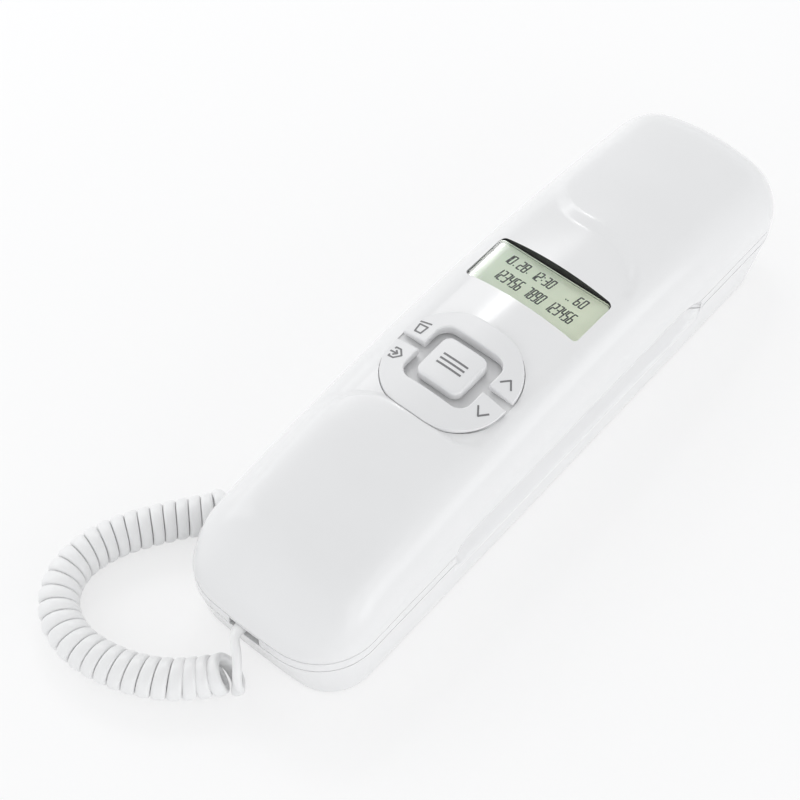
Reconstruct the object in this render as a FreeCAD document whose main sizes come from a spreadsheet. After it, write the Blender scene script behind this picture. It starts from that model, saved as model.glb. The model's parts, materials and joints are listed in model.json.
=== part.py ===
import FreeCAD, Part
import math
import os

import Sketcher
from FreeCAD import Placement, Rotation
from FreeCAD import Vector as V

# Slimline wall phone, lying on its back with the handset on its base.
# Millimetres, +Z up, origin on the table under the middle of the base.
# X runs across the handset, -Y is the mouth end, +Y the ear end.

doc = FreeCAD.newDocument("WallPhone")
sheet = doc.addObject("Spreadsheet::Sheet", "Sizes")
rows = []
nodes = {}


class Size:
    """A length, with the sheet formula that drives it."""

    def __init__(self, value, text=None):
        self.value = float(value)
        self.text = text if text else repr(float(value))

    def __add__(self, other):
        return join(self, "+", other)

    def __radd__(self, other):
        return join(other, "+", self)

    def __sub__(self, other):
        return join(self, "-", other)

    def __rsub__(self, other):
        return join(other, "-", self)

    def __mul__(self, other):
        return join(self, "*", other)

    def __rmul__(self, other):
        return join(other, "*", self)

    def __truediv__(self, other):
        return join(self, "/", other)

    def __neg__(self):
        return Size(-self.value, "(-1 * " + self.text + ")")


def as_size(value):
    return value if isinstance(value, Size) else Size(value)


def join(a, sign, b):
    a = as_size(a)
    b = as_size(b)
    results = {"+": a.value + b.value, "-": a.value - b.value, "*": a.value * b.value}
    value = results[sign] if sign in results else a.value / b.value
    return Size(value, "(" + a.text + " " + sign + " " + b.text + ")")


def size(alias, value, note):
    """Writes one dimension into the sheet, a plain one or one that follows others, and hands it back."""
    value = as_size(value)
    rows.append(alias)
    line = str(len(rows))
    sheet.set("A" + line, note)
    sheet.set("B" + line, "=" + value.text.replace("Sizes.", ""))
    sheet.setAlias("B" + line, alias)
    return Size(value.value, "Sizes." + alias)


# Sizes that several pieces share.
half_width = size("half_width", 28.8, "half the handset's width")
mouth_reach = size("mouth_reach", 107.2, "origin to the mouth end at the seam")
ear_reach = size("ear_reach", 106.3, "origin to the ear end at the seam")
mouth_corner = size("mouth_corner", 18.0, "corner radius in plan at the mouth end")
ear_corner = size("ear_corner", 14.0, "corner radius in plan at the ear end")
end_arc = size("end_arc", 230.0, "radius of the arc across both ends")
seat_z = size("seat_z", 15.9, "height of the handset's underside rim")
shell_line = size("shell_line", 19.35, "height of the seam between the handset's shells")
wall = size("wall", 2.2, "wall of the moulded shells")
fit = size("fit", 0.15, "side clearance of a piece in its seat")
gap = size("gap", 0.3, "gap between parts that move on each other")

# Handset outer shell.
mouth_lean = size("mouth_lean", 0.64, "inward lean of the mouth end wall per mm of height")
ear_lean = size("ear_lean", 0.11, "outward lean of the ear end wall per mm of height")
crown_z = size("crown_z", 46.7, "top of the crown")
crown_y = size("crown_y", -1.7, "where along the handset the crown is highest")
crown_long = size("crown_long", 560.0, "radius of the crown along the handset")
crown_wide = size("crown_wide", 70.0, "radius of the crown across the handset")
crown_edge = size("crown_edge", 11.5, "rounding of the crown's edge")
step_high = size("step_high", 1.2, "how far the surround stands over the scooped panel")

# Scooped panel.
pad_left = size("pad_left", half_width - 6.8, "left edge of the surround's pads")
panel_right = size("panel_right", half_width - 8.1, "right edge of the scooped panel")
panel_top = size("panel_top", 43.5, "ear side edge of the scooped panel")
panel_foot = size("panel_foot", 41.7, "mouth side edge of the scooped panel")
panel_bend = size("panel_bend", 17.0, "large corners of the scooped panel")
panel_nook = size("panel_nook", 8.0, "small corner of the scooped panel")

# Display.
lens_y = size("lens_y", 16.15, "middle of the display")
lens_wide = size("lens_wide", 38.6, "display lens across")
lens_deep = size("lens_deep", 17.0, "display lens along")
lens_round = size("lens_round", 1.5, "display lens corners")
lens_thick = size("lens_thick", 1.2, "display lens thickness")
lens_z = size("lens_z", 41.05, "underside of the display lens")
ledge_thick = size("ledge_thick", 1.2, "thickness of the ledge")
ledge = size("ledge", 1.5, "ledge that carries the lens")
collar = size("collar", 2.2, "wall round the lens")
board_top = size("board_top", 37.9, "component side of the display board")
board_thick = size("board_thick", 1.6, "thickness of the circuit boards")

# Front keys.
ring_x = size("ring_x", 0.4, "middle of the key ring across")
ring_y = size("ring_y", -22.6, "middle of the key ring along")
ring_wide = size("ring_wide", 38.0, "key ring across")
ring_deep = size("ring_deep", 35.8, "key ring along")
ring_round = size("ring_round", 12.5, "outer corners of the key ring")
trench_wide = size("trench_wide", 20.4, "hole in the key ring across")
trench_deep = size("trench_deep", 18.6, "hole in the key ring along")
trench_round = size("trench_round", 6.0, "corners of the hole in the key ring")
ring_split = size("ring_split", 2.8, "gap between the two rocker keys")
deck_top = size("deck_top", 42.5, "top of the deck under the front keys")
deck_thick = size("deck_thick", 1.5, "deck under the front keys")
deck_rim = size("deck_rim", 2.0, "deck past the key ring on each side")
menu_wide = size("menu_wide", 13.8, "menu key across")
menu_deep = size("menu_deep", 13.6, "menu key along")
menu_round = size("menu_round", 3.5, "menu key corners")
menu_stem = size("menu_stem", 3.0, "radius of the menu key's stem")
peg_x = size("peg_x", 15.0, "rocker pegs from the middle")
peg_y = size("peg_y", 5.8, "rocker pegs along, from the split")
peg = size("peg", 1.2, "radius of a rocker peg")
key_proud = size("key_proud", 1.6, "front keys above the scooped panel")
mat_top = size("mat_top", 38.9, "top of the front key mat")

# Posts for the display board and bosses for the screws that close the handset.
post_x = size("post_x", 17.0, "display board posts from the middle")
post_ear = size("post_ear", 31.0, "display board posts towards the ear end")
post_mouth = size("post_mouth", 49.0, "display board posts towards the mouth end")
post = size("post", 2.5, "radius of a display board post")
small_shank = size("small_shank", 1.1, "radius of a small screw's shank")
boss = size("boss", 3.3, "radius of a screw boss")
boss_foot = size("boss_foot", 21.9, "lower end of the outer shell's bosses")
boss_mouth_x = size("boss_mouth_x", half_width - 8.3, "mouth end bosses from the middle")
boss_mouth_y = size("boss_mouth_y", mouth_reach - 23.2, "mouth end bosses along")
boss_ear_x = size("boss_ear_x", half_width - 7.8, "ear end bosses from the middle")
boss_ear_y = size("boss_ear_y", ear_reach - 14.3, "ear end bosses along")
shank = size("shank", 1.35, "radius of a case screw's shank")
thread_gap = size("thread_gap", 0.05, "clearance of a screw in its hole")

# Grip.
grip_x = size("grip_x", half_width - 6.8, "deepest line of the grip groove")
grip_top = size("grip_top", 23.5, "upper edge of the grip groove")
grip_mouth = size("grip_mouth", 54.7, "mouth side end of the grip groove")
grip_ear = size("grip_ear", 59.5, "ear side end of the grip groove")
grip_wall = size("grip_wall", 2.4, "wall behind the grip groove")

# Display module.
lcd_frame = size("lcd_frame", 0.9, "rim of the display module")
lcd_thick = size("lcd_thick", 1.75, "display module thickness")

# Display board, the rubber mat on it and its screws.
board_mouth = size("board_mouth", 52.0, "display board towards the mouth end")
board_ear = size("board_ear", 36.0, "display board towards the ear end")
board_half = size("board_half", half_width - 8.3, "half the display board's width")

# Front keys' heights.
key_foot = size("key_foot", 43.4, "underside of the front keys")
pivot_z = size("pivot_z", 42.6, "height of the rockers' pivot line")
key_edge = size("key_edge", 0.7, "rounding of the front keys' edges")
tip_round = size("tip_round", 0.9, "rounding of the rocker keys' ends in plan")

# Handset inner shell.
face = size("face", 2.0, "thickness of the inner shell's face")
hump_z = size("hump_z", 11.9, "lowest level of the ear and mouth humps")
ear_y = size("ear_y", ear_reach - 38.3, "middle of the ear hump")
ear_hump_wide = size("ear_hump_wide", 34.0, "ear hump across")
ear_hump_deep = size("ear_hump_deep", 38.0, "ear hump along")
ear_hump_round = size("ear_hump_round", 12.0, "ear hump corners")
mouth_y = size("mouth_y", mouth_reach - 27.2, "middle of the mouth hump")
mouth_hump_wide = size("mouth_hump_wide", 30.0, "mouth hump across")
mouth_hump_deep = size("mouth_hump_deep", 26.0, "mouth hump along")
mouth_hump_round = size("mouth_hump_round", 8.0, "mouth hump corners")
speaker = size("speaker", 15.0, "radius of the earpiece speaker")
speaker_thick = size("speaker_thick", 7.0, "earpiece speaker thickness")
mic = size("mic", 4.85, "radius of the microphone")
mic_thick = size("mic_thick", 4.5, "microphone thickness")
dish = size("dish", 11.5, "radius of the dish in the ear hump")
ear_hole = size("ear_hole", 0.9, "radius of the sound holes")
slot_half = size("slot_half", 5.3, "half the cord slot's width")
slot_top = size("slot_top", 19.0, "top of the cord slot")
jack_half = size("jack_half", 6.0, "half the handset jack's width")
jack_mouth = size("jack_mouth", mouth_reach - 4.2, "mouth side of the handset jack")
jack_long = size("jack_long", 14.0, "handset jack along")
jack_foot = size("jack_foot", 16.2, "underside of the handset jack")
jack_high = size("jack_high", 5.6, "handset jack height")
plug_wide = size("plug_wide", 6.0, "cord plug's width")
plug_high = size("plug_high", 4.3, "cord plug's height")
plug_long = size("plug_long", 10.9, "cord plug's length")
inner_boss = size("inner_boss", 4.2, "radius of the inner shell's bosses")
head = size("head", 2.6, "radius of a case screw's head")
head_high = size("head_high", 1.8, "case screw head height")
head_seat = size("head_seat", 19.9, "plane under the case screws' heads")

# Dial keys.
column = size("column", 13.0, "pitch of the dial key columns")
row_pitch = size("row_pitch", 9.5, "pitch of the dial key rows")
first_row = size("first_row", 14.0, "first dial row along")
function_row = size("function_row", 25.0, "function key row along")
dial_wide = size("dial_wide", 9.6, "dial key across")
dial_deep = size("dial_deep", 6.2, "dial key along")
dial_round = size("dial_round", 1.6, "dial key corners")
dial_gap = size("dial_gap", 0.2, "gap round a dial key")
dial_tip = size("dial_tip", 1.2, "dial keys out of the face")
key_recess = size("key_recess", 1.5, "depth of the keypad's recess")
recess_rim = size("recess_rim", 1.4, "recess past the outer keys")
dial_flange = size("dial_flange", 0.6, "rim of a dial key behind the face")
flange_thick = size("flange_thick", 0.9, "thickness of a dial key's rim")
dial_travel = size("dial_travel", 1.0, "travel of a dial key")
dial_edge = size("dial_edge", 0.7, "bevel of a dial key's face")
mat_thick = size("mat_thick", 0.8, "thickness of the dial key mat")
dial_board_half = size("dial_board_half", 19.0, "half the dial board's width")
dial_post = size("dial_post", 2.2, "radius of the dial board's posts")
dial_post_x = size("dial_post_x", 15.0, "dial board posts from the middle")

# Handset weight.
weight_y = size("weight_y", 47.0, "middle of the handset weight, towards the mouth end")
weight_wide = size("weight_wide", 30.0, "handset weight across")
weight_deep = size("weight_deep", 22.0, "handset weight along")
weight_thick = size("weight_thick", 4.0, "handset weight thickness")

# Handset jack and the cord's plug in it; the cord leaves through the slot in the mouth end.
plug_gap = size("plug_gap", 0.2, "gap between a plug and its jack")

# Base.
base_z = size("base_z", 0.4, "lower rim of the base")
base_high = size("base_high", 15.6, "upper rim of the base")
base_half = size("base_half", half_width - 1.5, "half the base's width at its lower rim")
base_mouth = size("base_mouth", mouth_reach - 3.9, "origin to the mouth end at the lower rim")
base_ear = size("base_ear", ear_reach - 7.0, "origin to the ear end at the lower rim")
base_corner = size("base_corner", 13.3, "corner radius at the lower rim")
tray_floor = size("tray_floor", 13.4, "floor of the tray")
tray_half = size("tray_half", half_width - 8.8, "half the tray's width")
tray_mouth = size("tray_mouth", base_mouth - 5.3, "tray towards the mouth end")
tray_ear = size("tray_ear", base_ear - 11.3, "tray towards the ear end")
tray_round = size("tray_round", 9.0, "tray corners")
pit_gap = size("pit_gap", 1.0, "room round the humps in their pits")
pit_deep = size("pit_deep", 0.6, "room under the humps in their pits")
grip_foot = size("grip_foot", 9.7, "lower edge of the grip groove")
grip_foot_x = size("grip_foot_x", half_width - 0.7, "lower edge of the grip groove from the middle")
plate_thick = size("plate_thick", 2.0, "thickness of the base plate")
plate_gap = size("plate_gap", 0.2, "gap round the base plate")
plunger_y = size("plunger_y", 36.5, "hook plunger along")
plunger_wide = size("plunger_wide", 8.0, "hook plunger across")
plunger_deep = size("plunger_deep", 6.0, "hook plunger along its travel's section")
plunger_travel = size("plunger_travel", 3.0, "rise of the hook plunger")
base_screw_x = size("base_screw_x", base_half - 6.8, "base screws from the middle")
base_screw_mouth = size("base_screw_mouth", base_mouth - 13.3, "base screws towards the mouth end")
base_screw_ear = size("base_screw_ear", base_ear - 12.3, "base screws towards the ear end")
cord_jack_y = size("cord_jack_y", base_mouth - 29.3, "base cord jack towards the mouth end")
cord_z = size("cord_z", 6.0, "height of the cord at the base jack")
ringer_switch_y = size("ringer_switch_y", base_ear - 23.3, "ringer switch along")
line_x = size("line_x", -8.0, "line jack across")
base_board_foot = size("base_board_foot", 9.2, "underside of the base board")
jack_wide = size("jack_wide", 12.0, "base cord jack's width")
jack_deep = size("jack_deep", 12.0, "base cord jack's depth")
jack_gap = size("jack_gap", 1.1, "room round a plug in the base's wall")
tab_y = size("tab_y", base_ear - 5.8, "wall hook tab along")
tab_wide = size("tab_wide", 10.0, "wall hook tab across")
tab_deep = size("tab_deep", 7.0, "wall hook tab along its slide")
line_wide = size("line_wide", 9.8, "line socket's width")
line_high = size("line_high", 5.6, "line socket's height")
line_end = size("line_end", base_ear - 2.0, "rear of the line jack")
line_foot = size("line_foot", 3.1, "line socket's lower side")
slide_half = size("slide_half", 4.5, "half the ringer switch slot's length")
slide_z = size("slide_z", 6.0, "ringer switch slot's height")
slide_high = size("slide_high", 3.0, "ringer switch slot's width")

# Base plate.
hang_low = size("hang_low", 27.0, "mouth side keyhole along")
hang_high = size("hang_high", 56.0, "ear side keyhole along")
hang_entry = size("hang_entry", 4.25, "radius of a keyhole's round part")
hang_slot = size("hang_slot", 2.1, "half the width of a keyhole's slot")
hang_run = size("hang_run", 8.0, "run of a keyhole's slot")
foot = size("foot", 4.0, "radius of a rubber foot")
foot_out = size("foot_out", 0.4, "rubber feet below the base")
foot_in = size("foot_in", 1.0, "rubber feet in the plate")
foot_x = size("foot_x", base_half - 9.8, "rubber feet from the middle")
foot_mouth = size("foot_mouth", base_mouth - 25.3, "rubber feet towards the mouth end")
foot_ear = size("foot_ear", base_ear - 25.3, "rubber feet towards the ear end")
ringer_y = size("ringer_y", 12.0, "ringer along")
ringer = size("ringer", 11.0, "radius of the ringer")
ringer_thick = size("ringer_thick", 5.0, "ringer thickness")

# Hook switch.
plunger_top = size("plunger_top", 15.6, "top of the hook plunger with the handset down")
plunger_rim = size("plunger_rim", 6.9, "underside of the hook plunger's rim")
spring_radius = size("spring_radius", 2.6, "radius of the hook spring's turns")
spring_wire = size("spring_wire", 0.5, "diameter of the hook spring's wire")

# Ringer switch.
knob_half = size("knob_half", 1.75, "half the ringer slider's length")
switch_in = size("switch_in", base_half - 2.1, "outer face of the ringer switch from the middle")

# Base cord jack behind the hole in the left wall, and the plug in it.
jack_out = size("jack_out", base_half - 2.0, "outer face of the base cord jack from the middle")
plug_out = size("plug_out", jack_out + 4.3, "rear of the plug in the base from the middle")

# Line jack in the ear end wall, and the catch that holds the handset on a wall.
tab_top = size("tab_top", 15.4, "top of the wall hook tab")

# Curly cord.
wire = size("wire", 3.0, "diameter of the cord")
coil = size("coil", 4.3, "radius of the coil to the middle of the cord")
pitch = size("pitch", 4.3, "least advance of the coil per turn")
coil_gap = size("coil_gap", 0.9, "least room between neighbouring turns")
coil_z = size("coil_z", 6.2, "height of the coil's middle")


def bind(item, field, value):
    item.setExpression(field, as_size(value).text)


def put(item, x=0.0, y=0.0, z=0.0, turn=None):
    """Places an object at sheet driven coordinates."""
    x = as_size(x)
    y = as_size(y)
    z = as_size(z)
    item.Placement = Placement(V(x.value, y.value, z.value), turn or Rotation())
    bind(item, "Placement.Base.x", x)
    bind(item, "Placement.Base.y", y)
    bind(item, "Placement.Base.z", z)
    return item


def box(x0, x1, y0, y1, z0, z1):
    item = doc.addObject("Part::Box", "Block")
    bind(item, "Length", as_size(x1) - x0)
    bind(item, "Width", as_size(y1) - y0)
    bind(item, "Height", as_size(z1) - z0)
    return put(item, x0, y0, z0)


def rod(x, y, z, length, radius, axis="Z"):
    """A cylinder from (x, y, z) along an axis."""
    item = doc.addObject("Part::Cylinder", "Rod")
    bind(item, "Radius", radius)
    bind(item, "Height", length)
    turns = {
        "Z": Rotation(),
        "X": Rotation(V(0, 1, 0), 90),
        "Y": Rotation(V(1, 0, 0), -90),
    }
    return put(item, x, y, z, turns[axis])


def cut(base, *tools):
    item = doc.addObject("Part::Cut", "Cut")
    item.Refine = False
    item.Base = base
    item.Tool = tools[0] if len(tools) == 1 else fuse(*tools)
    return item


def fuse(*shapes):
    if len(shapes) == 1:
        return shapes[0]
    item = doc.addObject("Part::MultiFuse", "Fusion")
    item.Refine = False
    item.Shapes = list(shapes)
    return item


def common(a, b):
    item = doc.addObject("Part::MultiCommon", "Common")
    item.Refine = False
    item.Shapes = [a, b]
    return item


def node(label, item):
    """Names a finished sub-part; its label is its file's name."""
    item.Label = label
    nodes[label] = item
    return item


def locate(sketch, index, point, x, y):
    """Ties one point of a sketch to sheet driven coordinates."""
    for kind, value in (("DistanceX", as_size(x)), ("DistanceY", as_size(y))):
        number = sketch.addConstraint(Sketcher.Constraint(kind, -1, 1, index, point, value.value))
        sketch.setExpression("Constraints[" + str(number) + "]", value.text)


def radius_of(sketch, index, value):
    value = as_size(value)
    number = sketch.addConstraint(Sketcher.Constraint("Radius", index, value.value))
    sketch.setExpression("Constraints[" + str(number) + "]", value.text)


def draw(sketch, corners):
    """Draws a closed outline, given counter-clockwise as (x, y, corner radius)."""
    spots = [(as_size(c[0]), as_size(c[1]), as_size(c[2] if len(c) > 2 else 0)) for c in corners]
    count = len(spots)
    ends = []
    for i in range(count):
        x, y, r = (item.value for item in spots[i])
        px, py = (item.value for item in spots[i - 1][:2])
        nx, ny = (item.value for item in spots[(i + 1) % count][:2])
        before = V(px - x, py - y, 0).normalize()
        after = V(nx - x, ny - y, 0).normalize()
        if r == 0:
            ends.append((V(x, y, 0), V(x, y, 0), None))
            continue
        half = before.getAngle(after) / 2
        reach = r / math.tan(half)
        centre = V(x, y, 0) + (before + after).normalize() * (r / math.sin(half))
        convex = before.x * after.y - before.y * after.x < 0
        ends.append((V(x, y, 0) + before * reach, V(x, y, 0) + after * reach, (centre, convex)))
    lines = []
    for i in range(count):
        j = (i + 1) % count
        lines.append(sketch.addGeometry(Part.LineSegment(ends[i][1], ends[j][0]), False))
    for i in range(count):
        x, y, r = spots[i]
        start, stop, bend = ends[i]
        came, goes = lines[i - 1], lines[i]
        if bend is None:
            sketch.addConstraint(Sketcher.Constraint("Coincident", came, 2, goes, 1))
            locate(sketch, goes, 1, x, y)
            continue
        centre, convex = bend
        first, last = (start, stop) if convex else (stop, start)
        a = math.atan2(first.y - centre.y, first.x - centre.x)
        b = math.atan2(last.y - centre.y, last.x - centre.x)
        circle = Part.Circle(centre, V(0, 0, 1), r.value)
        arc = sketch.addGeometry(Part.ArcOfCircle(circle, a, b if b > a else b + 2 * math.pi), False)
        mark = sketch.addGeometry(Part.Point(V(x.value, y.value, 0)), True)
        locate(sketch, mark, 1, x, y)
        sketch.addConstraint(Sketcher.Constraint("PointOnObject", mark, 1, came))
        sketch.addConstraint(Sketcher.Constraint("PointOnObject", mark, 1, goes))
        sketch.addConstraint(Sketcher.Constraint("Tangent", came, 2, arc, 1 if convex else 2))
        sketch.addConstraint(Sketcher.Constraint("Tangent", arc, 2 if convex else 1, goes, 1))
        radius_of(sketch, arc, r)


def plan(corners, level=0.0, plane="XY"):
    """A sketch of an outline on a plane: XY at z, XZ at y or YZ at x."""
    sketch = doc.addObject("Sketcher::SketchObject", "Outline")
    draw(sketch, corners)
    if plane == "XY":
        return put(sketch, 0, 0, level)
    if plane == "XZ":
        return put(sketch, 0, level, 0, Rotation(V(1, 0, 0), 90))
    return put(sketch, level, 0, 0, Rotation(V(1, 1, 1), 120))


def prism(corners, low, high, plane="XY"):
    item = doc.addObject("Part::Extrusion", "Prism")
    item.Base = plan(corners, low, plane)
    item.DirMode = "Custom"
    item.Dir = {"XY": V(0, 0, 1), "XZ": V(0, 1, 0), "YZ": V(1, 0, 0)}[plane]
    item.Solid = True
    bind(item, "LengthFwd", as_size(high) - low)
    return item


def rounded(x, y, width, depth, r):
    """Corners of a rounded rectangle about (x, y)."""
    x0, x1 = x - width / 2, x + width / 2
    y0, y1 = y - depth / 2, y + depth / 2
    return [(x0, y0, r), (x1, y0, r), (x1, y1, r), (x0, y1, r)]


def slab(x, y, width, depth, r, low, high):
    """An upright plate with rounded corners about (x, y)."""
    return prism(rounded(as_size(x), as_size(y), as_size(width), as_size(depth), r), low, high)


def screws(label, spots, shank, head, head_high, seat, tip, up=False):
    """Like screws at several (x, y), as one node; seat is the plane under the heads."""
    parts = []
    for x, y in spots:
        if up:
            parts.append(rod(x, y, seat, as_size(tip) - seat, shank))
            parts.append(rod(x, y, as_size(seat) - head_high, head_high, head))
        else:
            parts.append(rod(x, y, tip, as_size(seat) - tip, shank))
            parts.append(rod(x, y, seat, head_high, head))
    return node(label, fuse(*parts))


# The shell's outline: two long sides, an arc across each end and a smaller arc at each corner.
def outline(level, half, mouth, ear, r_mouth, r_ear, r_end):
    half, mouth, ear, r_mouth, r_ear, r_end = map(as_size, (half, mouth, ear, r_mouth, r_ear, r_end))
    sketch = doc.addObject("Sketcher::SketchObject", "Outline")
    hw, big = half.value, r_end.value

    def corner(end, rc):
        middle = end - big
        cx = hw - rc
        cy = middle + math.sqrt((big - rc) ** 2 - cx**2)
        return cx, cy, middle, math.atan2(cy - middle, cx)

    ex, ey, em, ea = corner(ear.value, r_ear.value)
    mx, my, mm, ma = corner(mouth.value, r_mouth.value)

    def arc(x, y, radius, a, b):
        circle = Part.Circle(V(x, y, 0), V(0, 0, 1), radius)
        return sketch.addGeometry(Part.ArcOfCircle(circle, a, b), False)

    def line(x0, y0, x1, y1):
        return sketch.addGeometry(Part.LineSegment(V(x0, y0, 0), V(x1, y1, 0)), False)

    turn = 2 * math.pi
    edges = [
        line(hw, -my, hw, ey),
        arc(ex, ey, r_ear.value, 0, ea),
        arc(0, em, big, ea, math.pi - ea),
        arc(-ex, ey, r_ear.value, math.pi - ea, math.pi),
        line(-hw, ey, -hw, -my),
        arc(-mx, -my, r_mouth.value, math.pi, math.pi + ma),
        arc(0, -mm, big, math.pi + ma, turn - ma),
        arc(mx, -my, r_mouth.value, turn - ma, turn),
    ]
    for i in range(8):
        sketch.addConstraint(Sketcher.Constraint("Tangent", edges[i], 2, edges[(i + 1) % 8], 1))
    for edge, side in ((edges[0], half), (edges[4], -half)):
        sketch.addConstraint(Sketcher.Constraint("Vertical", edge))
        number = sketch.addConstraint(Sketcher.Constraint("DistanceX", -1, 1, edge, 1, side.value))
        sketch.setExpression("Constraints[" + str(number) + "]", side.text)
    for i, r in ((1, r_ear), (3, r_ear), (5, r_mouth), (7, r_mouth), (2, r_end), (6, r_end)):
        radius_of(sketch, edges[i], r)
    locate(sketch, edges[2], 3, 0, ear - r_end)
    locate(sketch, edges[6], 3, 0, r_end - mouth)
    return put(sketch, 0, 0, level)


def loft(low, high):
    item = doc.addObject("Part::Loft", "Loft")
    item.Sections = [low, high]
    item.Solid = True
    item.Ruled = True
    return item


# Sizes that several pieces share.

# Handset outer shell: the crowned upper half of the handset.
LOFT_TOP = 70.0


def crown_over(top, along, across):
    """The space under a crown: an arch across, swept along a larger arch."""
    sketch = doc.addObject("Sketcher::SketchObject", "CrownArc")
    reach = 40.0
    sag = across.value - math.sqrt(across.value**2 - reach**2)
    lift = math.acos(reach / across.value)
    circle = Part.Circle(V(0, top.value - across.value, 0), V(0, 0, 1), across.value)
    arch = sketch.addGeometry(Part.ArcOfCircle(circle, lift, math.pi - lift), False)
    left, right = V(-reach, top.value - sag, 0), V(reach, top.value - sag, 0)
    low_left, low_right = V(-reach, -reach, 0), V(reach, -reach, 0)
    down = sketch.addGeometry(Part.LineSegment(left, low_left), False)
    base = sketch.addGeometry(Part.LineSegment(low_left, low_right), False)
    rise = sketch.addGeometry(Part.LineSegment(low_right, right), False)
    for a, b in ((arch, down), (down, base), (base, rise), (rise, arch)):
        sketch.addConstraint(Sketcher.Constraint("Coincident", a, 2, b, 1))
    locate(sketch, base, 1, -reach, -reach)
    locate(sketch, base, 2, reach, -reach)
    sketch.addConstraint(Sketcher.Constraint("Vertical", down))
    sketch.addConstraint(Sketcher.Constraint("Vertical", rise))
    radius_of(sketch, arch, across)
    locate(sketch, arch, 3, 0, top - across)
    put(sketch, 0, crown_y, 0, Rotation(V(1, 0, 0), 90))
    crown = doc.addObject("Part::Revolution", "Crown")
    crown.Source = sketch
    crown.Axis = V(1, 0, 0)
    crown.Base = V(0, crown_y.value, top.value - along.value)
    bind(crown, "Base.y", crown_y)
    bind(crown, "Base.z", top - along)
    crown.Angle = 32
    crown.Symmetric = True
    crown.Solid = True
    return crown


def form(inset, drop, foot_z):
    """The crowned form; inset draws its walls in, drop lowers its crown and foot_z is its lower end."""
    inset, drop = as_size(inset), as_size(drop)
    half = half_width - inset
    radii = (mouth_corner - inset, ear_corner - inset, end_arc - inset)
    up = LOFT_TOP - shell_line
    foot = outline(
        0,
        half,
        mouth_reach - inset + mouth_lean * shell_line,
        ear_reach - inset - ear_lean * shell_line,
        *radii,
    )
    head = outline(
        LOFT_TOP,
        half,
        mouth_reach - inset - mouth_lean * up,
        ear_reach - inset + ear_lean * up,
        *radii,
    )
    walls = loft(foot, head)
    crown = crown_over(crown_z - inset - drop, crown_long - inset, crown_wide - inset)
    raw = common(common(walls, crown), box(-50, 50, -150, 150, foot_z, 90))
    doc.recompute()
    rounding = crown_edge - inset
    soft = doc.addObject("Part::Fillet", "Rounded")
    soft.Base = raw
    edges = []
    for number, edge in enumerate(raw.Shape.Edges, 1):
        bounds = edge.BoundBox
        if bounds.ZMin > as_size(foot_z).value + 2:
            edges.append((number, rounding.value, rounding.value))
    soft.Edges = edges
    doc.recompute()
    return soft


def soften(base, radius, pick):
    """Rounds the edges whose bounds pass a test."""
    doc.recompute()
    item = doc.addObject("Part::Fillet", "Soft")
    item.Base = base
    value = as_size(radius).value
    item.Edges = [(n, value, value) for n, edge in enumerate(base.Shape.Edges, 1) if pick(edge.BoundBox)]
    return item


full_form = form(0, 0, shell_line)
low_form = form(0, step_high, shell_line)
cavity_form = form(wall, step_high, shell_line - 1)

# The scooped panel opens on the left flank; the surround's pads stay above and below it.
FAR = 140.0
scoop = prism(
    [
        (-FAR, -FAR),
        (-pad_left, -FAR),
        (-pad_left, -panel_foot, panel_bend),
        (panel_right, -panel_foot, panel_nook),
        (panel_right, panel_top, panel_bend),
        (-pad_left, panel_top, panel_bend),
        (-pad_left, FAR),
        (-FAR, FAR),
    ],
    shell_line + 15,
    FAR,
)
outer_form = fuse(cut(full_form, scoop), low_form)

# Display: a flat lens on a ledge, below the crowned surface.
lens_hole = (lens_wide + 2 * fit, lens_deep + 2 * fit)
view = (lens_wide - 2 * ledge, lens_deep - 2 * ledge)
collar_size = (lens_hole[0] + 2 * collar, lens_hole[1] + 2 * collar)

# Front keys: a square key inside a ring of two rockers, on a sunk deck.
split_y = ring_y + 0.9
peg_spots = [(ring_x + sx * peg_x, split_y + sy * peg_y) for sx in (-1, 1) for sy in (-1, 1)]

# Posts for the display board and bosses for the screws that close the handset.
post_spots = [(sx * post_x, y) for sx in (-1, 1) for y in (post_ear, -post_mouth)]
boss_spots = [(-boss_mouth_x, -boss_mouth_y), (boss_mouth_x, -boss_mouth_y)]
boss_spots += [(-boss_ear_x, boss_ear_y), (boss_ear_x, boss_ear_y)]

# Grip: a V groove along both sides, cut into both shells and the base.
slope = (grip_top - seat_z) / (half_width - grip_x)


def groove(side, low, high):
    """The handset's half of the grip groove on one side, between two heights."""
    foot = grip_x + (as_size(low) - seat_z) / slope
    head = grip_x + (as_size(high) - seat_z) / slope
    right = [(foot, low), (60, low), (60, high), (head, high)]
    left = [(-1 * x, z) for x, z in reversed(right)]
    return prism(right if side > 0 else left, -grip_mouth, grip_ear, "XZ")


def grip_block(side, low, high):
    """The thickened wall behind the groove."""
    inner = grip_x + (as_size(low) - seat_z) / slope - grip_wall
    x0, x1 = (inner, half_width) if side > 0 else (-half_width, -1 * inner)
    return box(x0, x1, -grip_mouth - grip_wall, grip_ear + grip_wall, low, high)


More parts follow.
